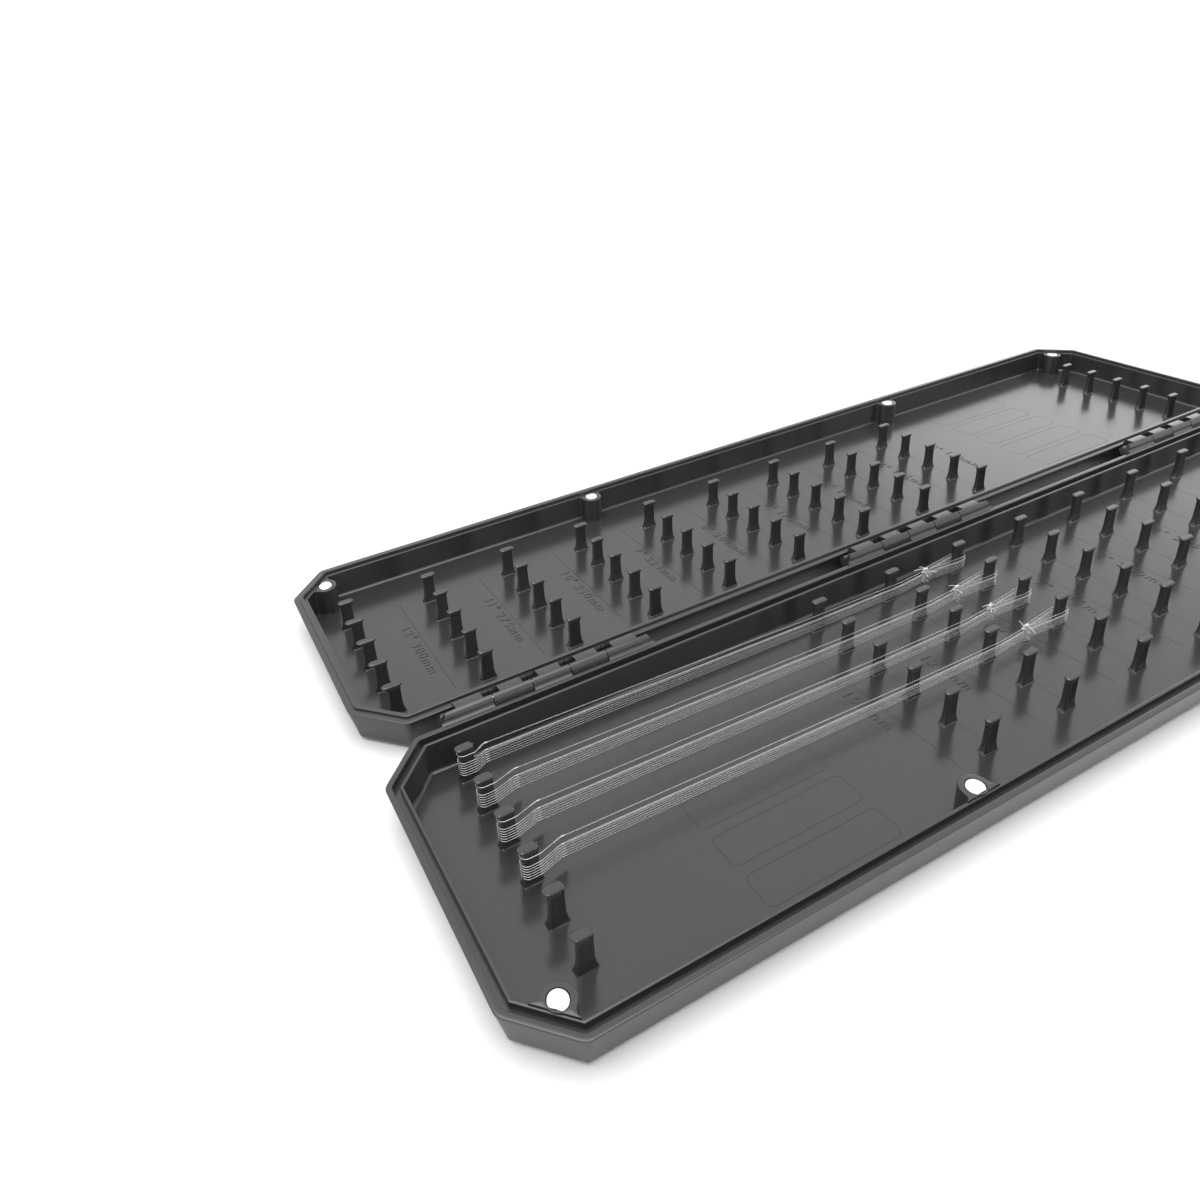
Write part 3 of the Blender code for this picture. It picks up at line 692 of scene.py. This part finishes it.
def knuckle_section(side, kind):
    """Section of a knuckle about the axis, across the box and upwards, from the lid's side over the top.

    A block with rounded edges stays inside the circle that clears both walls. A pocket in its top
    lays the pin open. A bar is only the block's near edge with a round sleeve for the pin. A web runs
    from the block into the wall of its own tray. The points are in millimetres.
    """
    near = [(-1.10, 1.86), (-1.60, 1.60), (-1.92, 1.15), (-2.05, 0.60), (-2.05, 0.10)]
    top = [(1.35, 1.87), (0.90, 1.94), (-0.35, 1.97), (-0.80, 1.93)]
    far = [(2.32, -0.10), (2.26, 0.55), (2.04, 1.15), (1.72, 1.58)]
    under = [(-1.90, -0.70), (-1.20, -1.60), (0.0, -1.95), (1.20, -1.70)]
    if kind == "pocket":
        top[1:3] = [(1.33, -0.10), (-0.78, -0.10)]
    if kind == "bar":
        far = [(0.70, -0.50), (0.85, -0.10), (0.78, 0.33), (0.50, 0.68)]
        top = [(0.10, 0.84), (-0.40, 0.75), (-0.72, 0.50), (-0.92, 1.88)]
        under = [(-1.90, -0.70), (-1.20, -1.60), (-0.40, -1.80), (0.20, -1.20)]
    if side == LID:
        web = [(1.90, -2.40), (3.10, -2.50), (3.10, -0.50), (2.85, -0.24), (2.50, -0.16)]
        points = web + far + top + near[:-2] + [(-2.15, 0.55), (-2.32, -0.05)] + under[:3]
    else:
        web = [(-2.16, 0.30), (-2.36, 0.05), (-2.75, -0.07), (-3.20, -0.14), (-3.20, -2.50), (-1.90, -2.40)]
        points = far + top + near[:-1] + web + under[2:]
    return np.array(points) * MM


def knuckle_grid(stations, side):
    """A knuckle lofted through its stations: place along X, slope of the end, and kind of section."""
    rows = []
    for x, slope, kind in stations:
        section = knuckle_section(side, kind)
        drop = np.clip(1 - section[:, 1] / KNUCKLE_TOP, 0, 1)
        rows.append(np.column_stack([x + slope * drop, section[:, 0], AXIS_HEIGHT + section[:, 1]]))
    return np.array(rows)


def middle_stations(centre):
    """A knuckle between two others, with half a pocket at each end."""
    half, part = (KNUCKLE_PITCH - KNUCKLE_GAP) / 2, (KNUCKLE_PITCH - POCKET_WIDTH) / 2
    places = [(-half, "pocket"), (-part - WALL_LEAN, "pocket"), (-part, "block"),
              (part, "block"), (part + WALL_LEAN, "pocket"), (half, "pocket")]
    return [(centre + place, 0, kind) for place, kind in places]


def end_stations(hinge, way):
    """An end knuckle of the base: half a pocket, a block, and a bar whose end slopes down to the rim."""
    inner = 1.5 * KNUCKLE_PITCH + KNUCKLE_GAP / 2
    start = 1.5 * KNUCKLE_PITCH + POCKET_WIDTH / 2
    outer = 1.5 * KNUCKLE_PITCH + END_KNUCKLE
    places = [(inner, 0, "pocket"), (start, 0, "pocket"), (start + WALL_LEAN, 0, "block"),
              (start + END_BLOCK, 0, "block"), (start + END_BLOCK + WALL_LEAN, 0, "bar"),
              (outer - END_SLOPE / 2, END_SLOPE, "bar")]
    found = [(hinge + way * place, way * slope, kind) for place, slope, kind in places]
    return found if way > 0 else found[::-1]


def knuckles(side, material):
    """All knuckles that grow from one tray."""
    shape = Shape()
    for hinge in hinge_centres():
        if side == BASE:
            stations = [middle_stations(hinge), end_stations(hinge, -1), end_stations(hinge, 1)]
        else:
            stations = [middle_stations(hinge + way * KNUCKLE_PITCH) for way in (-1, 1)]
        for each in stations:
            shape.add(knuckle_grid(each, side))
    link_piece(BODY[side] + "_knuckles", shape.mesh("knuckles", 40), material, BODY[side])


def smooth_path(points, steps, width):
    """Evenly spaced points along straight runs, averaged over a moving window that rounds the corners."""
    points = np.asarray(points, float)
    way = np.concatenate([[0], np.cumsum(np.linalg.norm(np.diff(points, axis=0), axis=1))])
    at = np.linspace(0, way[-1], steps)
    window = np.linspace(-width / 2, width / 2, 9)
    limit = np.minimum(at, way[-1] - at)
    share = np.clip(limit / (width / 2), 0, 1)[:, None]
    samples = at[:, None] + window[None, :] * share
    return np.stack([np.interp(samples, way, points[:, axis]).mean(axis=1) for axis in range(3)], axis=1)


def tube_grid(path, radii, sides):
    """A round tube: at each point of the path a circle square to the path, of that point's radius."""
    path = np.asarray(path, float)
    radii = np.broadcast_to(radii, len(path))
    ahead = np.gradient(path, axis=0)
    ahead /= np.linalg.norm(ahead, axis=1, keepdims=True)
    across = np.cross(ahead, (0.013, 0.017, 1.0))
    across /= np.linalg.norm(across, axis=1, keepdims=True)
    up = np.cross(across, ahead)
    turns = np.linspace(0, 2 * np.pi, sides, endpoint=False)
    ring = np.cos(turns)[None, :, None] * across[:, None] + np.sin(turns)[None, :, None] * up[:, None]
    return path[:, None] + ring[:, ::-1] * radii[:, None, None]


def hook_path(x, y, z, reach):
    """Centre line of a hook: point, half circle behind its peg, shank to the end of the sleeve."""
    centre = HOOK_GAPE - HOOK_BACK
    bend = arc((centre, 0), HOOK_GAPE, 90, 270, 24)
    flat = np.vstack([[(centre + HOOK_POINT, HOOK_GAPE - HOOK_POINT_TURN)], bend,
                      [(centre + SHANK_START, -HOOK_GAPE), (reach - SLEEVE_LENGTH, 0), (reach, 0)]])
    path = np.column_stack([x + flat[:, 0], y + flat[:, 1], np.full(len(flat), z)])
    return smooth_path(path, HOOK_STEPS, HOOK_ROUND)


def stretch(path, low, high, steps):
    """Points of a path between two lengths measured back from its end."""
    way = np.concatenate([[0], np.cumsum(np.linalg.norm(np.diff(path, axis=0), axis=1))])
    at = way[-1] - np.linspace(high, low, steps)
    return np.stack([np.interp(at, way, path[:, axis]) for axis in range(3)], axis=1)


def hook_mesh(x, y, z, reach):
    """A hook: its wire tapers to the point, a small barb stands off it, and a sleeve ends the shank."""
    wire = bpy.context.scene.rig_sizes.wire_radius
    path = hook_path(x, y, z, reach)
    taper = np.interp(np.linspace(0, 1, len(path)), [0, POINT_SHARE, 1], [POINT_WEIGHT, 1, 1])
    shape = Shape()
    shape.add(tube_grid(path, wire * taper, 10))
    barb = np.linspace(path[BARB_ROOT], path[BARB_TIP] + (0, -BARB_RISE, 0), 4)
    shape.add(tube_grid(barb, wire * np.array([0.8, 0.6, 0.3, 0.1]), 8))
    way = np.linspace(-1, 1, 13)
    sleeve = SLEEVE_WEIGHT * wire * np.clip(1 - way ** 6, 0.2, 1)
    shape.add(tube_grid(stretch(path, SLEEVE_END, SLEEVE_LENGTH, 13), sleeve, 12))
    return shape.mesh("hook", 60)


def line_route(side_y, x_rows, start, hook_z, loop_z, lean):
    """Route of a line: from the sleeve past two pegs, round the third one and back to its knot."""
    loop = x_rows[LOOP_ROW]
    knot = loop - KNOT_REACH
    beside = -LOOP_SIDE - lean
    flat = [(start, 0), (x_rows[0] - PEG_PASS, beside), (x_rows[1] + PEG_PASS, beside), (knot, -0.5 * MM),
            (loop - LOOP_RUN, -LOOP_SIDE), (loop + LOOP_RUN, -LOOP_SIDE), (loop + LOOP_END, -LOOP_TURN),
            (loop + LOOP_END, LOOP_TURN), (loop + LOOP_RUN, LOOP_SIDE), (loop - LOOP_RUN, LOOP_SIDE),
            (knot + 0.3 * MM, 0.1 * MM)]
    rise = np.clip([(x - start) / (knot - start) for x, _ in flat], 0, 1)
    return np.array([(x, side_y + across, FLOOR_THICKNESS + hook_z + (loop_z - hook_z) * share)
                     for (x, across), share in zip(flat, rise)])


def knot_shape(shape, knot, turn, size):
    """A knot: a short fat bead with rings of wrapped line, and two cut ends that stand off it.

    The bead's radius follows the root of one less the fourth power of the way from its
    middle, times a cosine wave for the rings. The cut ends sag with the square of their length.
    """
    sizes = bpy.context.scene.rig_sizes
    way = np.linspace(0, 1, KNOT_STEPS)
    still = np.zeros(KNOT_STEPS)
    bead = knot + np.column_stack([(way - 0.5) * KNOT_LENGTH * size, still, still])
    round_off = np.sqrt(np.clip(1 - (2 * way - 1) ** 4, 0.05, 1))
    rings = 1 + 0.16 * np.cos(2 * np.pi * KNOT_RINGS * way)
    shape.add(tube_grid(bead, KNOT_RADIUS * size * round_off * rings, 12))
    for sign, share in ((1, 1.0), (-1, 0.6)):
        angle = math.radians(turn + TAG_SPREAD * sign)
        reach = np.array([math.cos(angle), math.sin(angle), 0.25]) * sizes.tag_length * size * share
        bow = np.linspace(0, 1, 8)[:, None]
        sag = np.array([0, 0, -TAG_SAG * size]) * bow ** 2
        shape.add(tube_grid(knot + reach * bow + sag, sizes.line_radius, 8))


def line_mesh(lane, level, side_y, x_rows, anchor):
    """One hooklength with its loop, its knot and the whipping on the hook's shank.

    Sines of the lane and the level spread the lines, the knots and their cut ends a little.
    """
    sizes = bpy.context.scene.rig_sizes
    reach = HOOK_REACH[lane - 1]
    lean = LEAN * math.sin(2.4 * level + lane)
    route = line_route(side_y, x_rows, anchor + reach, HOOK_HEIGHTS[level], LOOP_HEIGHTS[level], lean)
    shape = Shape()
    path = smooth_path(route, LINE_STEPS, LINE_ROUND)
    shape.add(tube_grid(path, sizes.line_radius * LINE_WEIGHTS[level], 10))
    turn = TAG_TURN + TAG_SWING * math.sin(1.7 * level + 2.1 * lane)
    knot_shape(shape, route[3] + (0.3 * MM * math.sin(3 * level), 0.2 * MM, 0), turn, LOW_KNOT)
    shank = hook_path(anchor, side_y, FLOOR_THICKNESS + HOOK_HEIGHTS[level], reach)
    wrap = stretch(shank, SLEEVE_LENGTH, SLEEVE_LENGTH + WHIPPING_LENGTH, WHIPPING_STEPS)
    turns = np.linspace(0, 2 * np.pi * WHIPPING_TURNS, WHIPPING_STEPS)
    shape.add(tube_grid(wrap, sizes.wire_radius + sizes.line_radius * (0.75 + 0.3 * np.cos(turns)), 12))
    return shape.mesh("hooklength", 70)


def top_knot(lane, side_y, x_rows):
    """The drawn-up knot of a lane's upper line: two beads side by side, with long cut ends."""
    height = FLOOR_THICKNESS + LOOP_HEIGHTS[-1]
    place = np.array([x_rows[LOOP_ROW] - KNOT_REACH, side_y - TOP_KNOT_SIDE, height])
    shape = Shape()
    for way in (-1, 1):
        turn = TOP_TAG_TURN * way + TOP_TAG_STEP * lane
        knot_shape(shape, place + way * TOP_KNOT_SHIFT, turn, 1.0)
    return shape.mesh("knot", 70)


def label_mesh(text, x, y):
    """Raised plain numbers that lie on the floor and read towards the camera's side."""
    curve = bpy.data.curves.new("label", "FONT")
    curve.body = text
    curve.size = LABEL_HEIGHT / CAPITAL_SHARE
    curve.space_character = LABEL_SPACING
    curve.extrude = LABEL_RAISE
    curve.align_x = "CENTER"
    curve.align_y = "CENTER"
    item = bpy.data.objects.new("label", curve)
    bpy.context.scene.collection.objects.link(item)
    made = bpy.data.meshes.new_from_object(item.evaluated_get(bpy.context.evaluated_depsgraph_get()))
    bpy.data.objects.remove(item)
    made.transform(Matrix.Translation((x, y, FLOOR_THICKNESS)) @ Matrix.Rotation(math.radians(-90), 4, "Z"))
    return made


def join_meshes(name, meshes):
    """One mesh that holds all of these, with their doubled points merged."""
    whole = bmesh.new()
    for each in meshes:
        whole.from_mesh(each)
    bmesh.ops.remove_doubles(whole, verts=whole.verts, dist=MERGE_DISTANCE)
    bmesh.ops.recalc_face_normals(whole, faces=whole.faces)
    made = bpy.data.meshes.new(name)
    whole.to_mesh(made)
    whole.free()
    return made


def repeat(value, pitch):
    """Distance from the nearest of many marks that stand a pitch apart."""
    return abs((value / pitch + 0.5).math("FRACT") - 0.5) * pitch


def floor_marks(finish, side, parts):
    """Mask of the fine lines that the mould leaves on the floor, where painted groove shade darkens the
    plastic.

    Lines run across the floor between the rows and along the rows. The edges of the panels
    are the points at one distance, the panel's corner radius, from a smaller rectangle.
    """
    x, y, z = parts
    across = y * side
    rows, _ = peg_rows(side)

    def between(value, low, high):
        """One from low to high, zero outside."""
        middle, half = (low + high) / 2, (high - low) / 2
        return finish.step(abs(value - middle), half, half + MARK_EDGE, 1.0, 0.0)

    def line(distance, width=MARK_WIDTH):
        """One within about half the width of a line."""
        return finish.step(distance, width * 0.4, width, 1.0, 0.0)

    on_floor = finish.step(abs(z - FLOOR_THICKNESS), *FLOOR_BAND, 1.0, 0.0)
    wide = between(across, *MARK_SPAN[side])
    first, last = rows[0] + INSERT_SHIFT, rows[-1] + INSERT_SHIFT
    inserts = line(repeat(x - first, PEG_PITCH)) * between(x, first - MM, last + MM) * wide
    start = rows[0] + ROW_LINE_SHIFT
    seams = line(repeat(x - start, PEG_PITCH), MARK_WIDTH * 0.8) * between(x, start - MM, rows[-1] + 2 * MM)
    seams = seams * wide * ROW_LINE_SHARE
    middle, half = -side * (PANEL_LOW + PANEL_HIGH) / 2, (PANEL_HIGH - PANEL_LOW) / 2
    beyond_x = abs(x - middle) - (half - PANEL_ROUND)
    beyond_y = repeat(across - PANEL_FIRST[side], LINE_PITCH) - (PANEL_WIDTH / 2 - PANEL_ROUND)
    reach_x, reach_y = beyond_x.math("MAXIMUM", 0.0), beyond_y.math("MAXIMUM", 0.0)
    edge = abs((reach_x * reach_x + reach_y * reach_y).math("SQRT") - PANEL_ROUND)
    inside = between(across, *PANEL_SPAN) * between(x, middle - PANEL_REACH, middle + PANEL_REACH)
    panels = line(edge) * inside * PANEL_SHARE
    return (inserts + seams + panels).math("MINIMUM", 1.0) * on_floor


def moulded(name, roughness, gloss, cells):
    """Moulded plastic: satin, finely grained, with a cloudy gloss. Gives the finish and its x, y and z."""
    colour = tuple(bpy.context.scene.finishes.plastic)
    finish = Finish(name, colour, roughness)
    place, parts = finish.place()
    grain = finish.noise(place, GRAIN_CELLS, 2.0)
    cloud = finish.noise(place, cells)
    least, by_cloud, by_grain = gloss
    finish.set("Roughness", least + by_cloud * cloud + by_grain * grain)
    finish.set("Base Color", finish.tint(cloud, colour, tuple(PLASTIC_TINT * part for part in colour)))
    finish.set("IOR", PLASTIC_IOR)
    finish.set("Normal", finish.bump(grain, GRAIN_DEPTH, 0.5))
    return finish, parts


def plastic_finish(side):
    """The plastic of a tray, a little glossier than its small parts, with painted shade along the mould's
    fine lines.
    """
    finish, parts = moulded(BODY[side] + "_plastic", 0.2, TRAY_GLOSS, TRAY_CLOUD)
    marks = floor_marks(finish, side, parts)
    # Painted shade: the mould's fine lines lose their gloss, standing in for the shade in their grooves
    finish.paint_groove_shade(marks * GROOVE_SHADE_SHARE, tuple(bpy.context.scene.finishes.plastic))
    return finish.material


def part_finish(side):
    """The same plastic for pegs, posts, knuckles and numbers, without floor marks."""
    return moulded(BODY[side] + "_plastic_parts", 0.24, PART_GLOSS, PART_CLOUD)[0].material


def metal_finish(name, colour, roughness, cells):
    """Metal with fine streaks in its gloss."""
    finish = Finish(name, colour, roughness, 1.0)
    place, _ = finish.place()
    streak = finish.noise(place, cells, 4.0)
    finish.set("Roughness", roughness + METAL_STREAK * streak)
    finish.set("Base Color", finish.tint(streak, tuple(0.9 * part for part in colour), colour))
    return finish.material


def nylon_finish(name, clear, alpha):
    """Clear line: see-through by its share, glossy, a little milky."""
    colour = tuple(bpy.context.scene.finishes.nylon)
    finish = Finish(name, colour, 0.22)
    finish.set("Transmission Weight", clear)
    finish.set("Alpha", alpha)
    finish.set("IOR", NYLON_IOR)
    place, _ = finish.place()
    cloud = finish.noise(place, NYLON_CELLS, 2.0)
    finish.set("Roughness", 0.18 + 0.10 * cloud)
    return finish.material


def stage_finish():
    """Pale floor that a camera sees as white, with the object's shadow, and far off as plain white."""
    colour = tuple(bpy.context.scene.finishes.stage)
    finish = Finish("stage", colour, 0.9)
    finish.set("Specular IOR Level", 0.0)
    seen = finish.node("ShaderNodeLightPath", output="Is Camera Ray")
    finish.set("Base Color", finish.tint(seen, colour, (1.0, 1.0, 1.0)))
    place, _ = finish.place()
    away = finish.node("ShaderNodeVectorMath", {"operation": "LENGTH"}, {0: place}, "Value")
    far = finish.step(away, FADE_START, FADE_END) * seen
    finish.set("Emission Color", finish.tint(far, (0.0, 0.0, 0.0), (1.0, 1.0, 1.0)))
    finish.set("Emission Strength", 1.0)
    return finish.material


class RIGBOX_OT_stage(bpy.types.Operator):
    """Make the floor, the lights and the camera"""

    bl_idname = "rigbox.stage"
    bl_label = "Stage"

    def execute(self, context):
        scene = context.scene
        mesh = bpy.data.meshes.new("floor")
        corners = [(x * STAGE_REACH, y * STAGE_REACH, 0) for x, y in ((-1, -1), (1, -1), (1, 1), (-1, 1))]
        mesh.from_pydata(corners, [], [(0, 1, 2, 3)])
        mesh.materials.append(stage_finish())
        floor = bpy.data.objects.new("floor", mesh)
        scene.collection.objects.link(floor)
        self.world(scene)
        for name, (place, target, size, power) in LAMPS.items():
            self.lamp(name, place, target, size, power)
        scene.camera = self.camera(scene)
        scene.view_settings.view_transform = "Standard"
        return {"FINISHED"}

    def world(self, scene):
        """White for the camera, pale for gloss, dimmer for diffuse light."""
        world = bpy.data.worlds.new("studio")
        world.use_nodes = True
        nodes, links = world.node_tree.nodes, world.node_tree.links
        path = nodes.new("ShaderNodeLightPath")
        seen = path.outputs["Is Camera Ray"]
        for ray in ("Is Transmission Ray", "Is Glossy Ray"):
            either = nodes.new("ShaderNodeMath")
            either.operation = "MAXIMUM"
            links.new(seen, either.inputs[0])
            links.new(path.outputs[ray], either.inputs[1])
            seen = either.outputs[0]
        strength = nodes.new("ShaderNodeMath")
        strength.operation = "MULTIPLY_ADD"
        links.new(seen, strength.inputs[0])
        strength.inputs[1].default_value = WORLD_SEEN
        strength.inputs[2].default_value = WORLD_LEVEL
        background = nodes["Background"]
        background.inputs["Color"].default_value = (1, 1, 1, 1)
        links.new(strength.outputs[0], background.inputs["Strength"])
        scene.world = world

    def lamp(self, name, place, target, size, power):
        """A square soft light that looks at the target."""
        light = bpy.data.lights.new(name, "AREA")
        light.size = size
        light.energy = power
        item = bpy.data.objects.new(name, light)
        item.location = place
        item.rotation_euler = (Vector(target) - Vector(place)).to_track_quat("-Z", "Y").to_euler()
        bpy.context.scene.collection.objects.link(item)

    def camera(self, scene):
        """The photograph's view: place, direction, roll, focal length and principal point."""
        data = bpy.data.cameras.new("camera")
        data.sensor_width = 36.0
        data.lens = FOCAL_PIXELS / PHOTO_SIZE * data.sensor_width
        data.shift_x = 0.5 - AXIS_PIXEL[0] / PHOTO_SIZE
        data.shift_y = AXIS_PIXEL[1] / PHOTO_SIZE - 0.5
        data.clip_start, data.clip_end = 0.01, 20.0
        azimuth, elevation = math.radians(CAMERA_AZIMUTH), math.radians(CAMERA_ELEVATION)
        roll, flat = math.radians(CAMERA_ROLL), math.cos(elevation)
        ahead = Vector((math.sin(azimuth) * flat, math.cos(azimuth) * flat, -math.sin(elevation)))
        level = Vector((math.cos(azimuth), -math.sin(azimuth), 0))
        above = level.cross(ahead)
        right = level * math.cos(roll) + above * math.sin(roll)
        up = above * math.cos(roll) - level * math.sin(roll)
        item = bpy.data.objects.new("camera", data)
        turned = Matrix((right, up, -ahead)).transposed().to_4x4()
        item.matrix_world = Matrix.Translation(CAMERA_PLACE) @ turned
        scene.collection.objects.link(item)
        return item


class RIGBOX_OT_trays(bpy.types.Operator):
    """Make both trays with their rims"""

    bl_idname = "rigbox.trays"
    bl_label = "Trays"

    def execute(self, context):
        for side in (BASE, LID):
            node = BODY[side] + "_tray"
            mesh, material = tray_mesh(side), plastic_finish(side)
            link_piece(node + "_shell", mesh, material, BODY[side], [node])
        return {"FINISHED"}


class RIGBOX_OT_pegs(bpy.types.Operator):
    """Make the pegs of both trays"""

    bl_idname = "rigbox.pegs"
    bl_label = "Pegs"

    def execute(self, context):
        for side in (BASE, LID):
            pegs(side, part_finish(side))
        return {"FINISHED"}


class RIGBOX_OT_posts(bpy.types.Operator):
    """Make the posts and the magnets in them"""

    bl_idname = "rigbox.posts"
    bl_label = "Posts and magnets"

    def execute(self, context):
        nickel = metal_finish("nickel_plate", tuple(context.scene.finishes.nickel), 0.30, 900.0)
        for side in (BASE, LID):
            posts(side, part_finish(side))
            for number, place in enumerate(post_places(side), start=1):
                node = f"{BODY[side]}_magnet_{number}"
                mesh = magnet_mesh(place, side)
                link_piece(node + "_disc", mesh, nickel, BODY[side], [node])
        return {"FINISHED"}


class RIGBOX_OT_hinges(bpy.types.Operator):
    """Make the knuckles and finish the pins"""

    bl_idname = "rigbox.hinges"
    bl_label = "Hinges"

    def execute(self, context):
        for side in (BASE, LID):
            knuckles(side, part_finish(side))
        steel = metal_finish("pin_wire", PIN_COLOUR, 0.30, 1500.0)
        for name, node in frame["nodes"].items():
            if name.startswith("hinge_pin"):
                node.data.materials.clear()
                node.data.materials.append(steel)
        return {"FINISHED"}


class RIGBOX_OT_labels(bpy.types.Operator):
    """Make the raised length numbers on both floors"""

    bl_idname = "rigbox.labels"
    bl_label = "Length numbers"

    def execute(self, context):
        for side in (BASE, LID):
            rows, anchor = peg_rows(side)
            meshes = []
            for x in rows:
                inches = round(abs(x - anchor) / PEG_PITCH)
                text = f'{inches}" {25 * inches}mm'
                meshes.append(label_mesh(text, x + LABEL_SHIFT[side], side * LABEL_LINE))
            mesh = join_meshes("labels", meshes)
            link_piece(BODY[side] + "_length_numbers", mesh, part_finish(side), BODY[side])
        return {"FINISHED"}


class RIGBOX_OT_rigs(bpy.types.Operator):
    """Make the hooks and the stretched lines"""

    bl_idname = "rigbox.rigs"
    bl_label = "Hooks and lines"

    def execute(self, context):
        steel = metal_finish("hook_wire", tuple(context.scene.finishes.steel), 0.06, 1200.0)
        nylon = nylon_finish("clear_nylon", NYLON_CLEAR, NYLON_ALPHA)
        milky = nylon_finish("drawn_nylon", 0.0, 1.0)
        rows, anchor = peg_rows(BASE)
        for lane, y in enumerate(peg_lines(BASE)[:LANES], start=1):
            for level, height in enumerate(HOOK_HEIGHTS):
                numbers = [CAD_LEVELS.index(level) + 1] if level in CAD_LEVELS else []
                hook = hook_mesh(anchor, y, FLOOR_THICKNESS + height, HOOK_REACH[lane - 1])
                link_piece(f"rig_hook_{lane}_{level + 1}", hook, steel, "base",
                           [f"hook_{lane}_{number}" for number in numbers])
                line = line_mesh(lane, level, y, rows, anchor)
                link_piece(f"rig_line_{lane}_{level + 1}", line, nylon, "base",
                           [f"hooklength_{lane}_{number}" for number in numbers])
            link_piece(f"rig_knot_{lane}", top_knot(lane, y, rows), milky, "base")
        return {"FINISHED"}


OPERATORS = (RIGBOX_OT_stage, RIGBOX_OT_trays, RIGBOX_OT_pegs, RIGBOX_OT_posts, RIGBOX_OT_hinges,
             RIGBOX_OT_labels, RIGBOX_OT_rigs)


class RIGBOX_PT_panel(bpy.types.Panel):
    """The rig box's steps in the sidebar"""

    bl_idname = "RIGBOX_PT_panel"
    bl_label = "Rig box"
    bl_space_type = "VIEW_3D"
    bl_region_type = "UI"
    bl_category = "Rig box"

    def draw(self, context):
        for operator in OPERATORS:
            self.layout.operator(operator.bl_idname)
        for group in (context.scene.tray_sizes, context.scene.rig_sizes, context.scene.finishes):
            for name in group.bl_rna.properties.keys():
                if name not in ("rna_type", "name"):
                    self.layout.prop(group, name)


GROUPS = {"tray_sizes": TraySizes, "rig_sizes": RigSizes, "finishes": Finishes}


def register():
    """Register the groups, the operators and the panel."""
    for name, group in GROUPS.items():
        bpy.utils.register_class(group)
        setattr(bpy.types.Scene, name, bpy.props.PointerProperty(type=group))
    for each in (*OPERATORS, RIGBOX_PT_panel):
        bpy.utils.register_class(each)


def unregister():
    """Remove them again."""
    for each in (RIGBOX_PT_panel, *reversed(OPERATORS)):
        bpy.utils.unregister_class(each)
    for name, group in reversed(GROUPS.items()):
        delattr(bpy.types.Scene, name)
        bpy.utils.unregister_class(group)


def write_sizes():
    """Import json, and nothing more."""
    import json


def main():
    """Register the add-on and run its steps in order."""
    register()
    bpy.ops.rigbox.stage()
    bpy.ops.rigbox.trays()
    bpy.ops.rigbox.pegs()
    bpy.ops.rigbox.posts()
    bpy.ops.rigbox.hinges()
    bpy.ops.rigbox.labels()
    bpy.ops.rigbox.rigs()
    write_sizes()


if __name__ == "__main__":
    main()
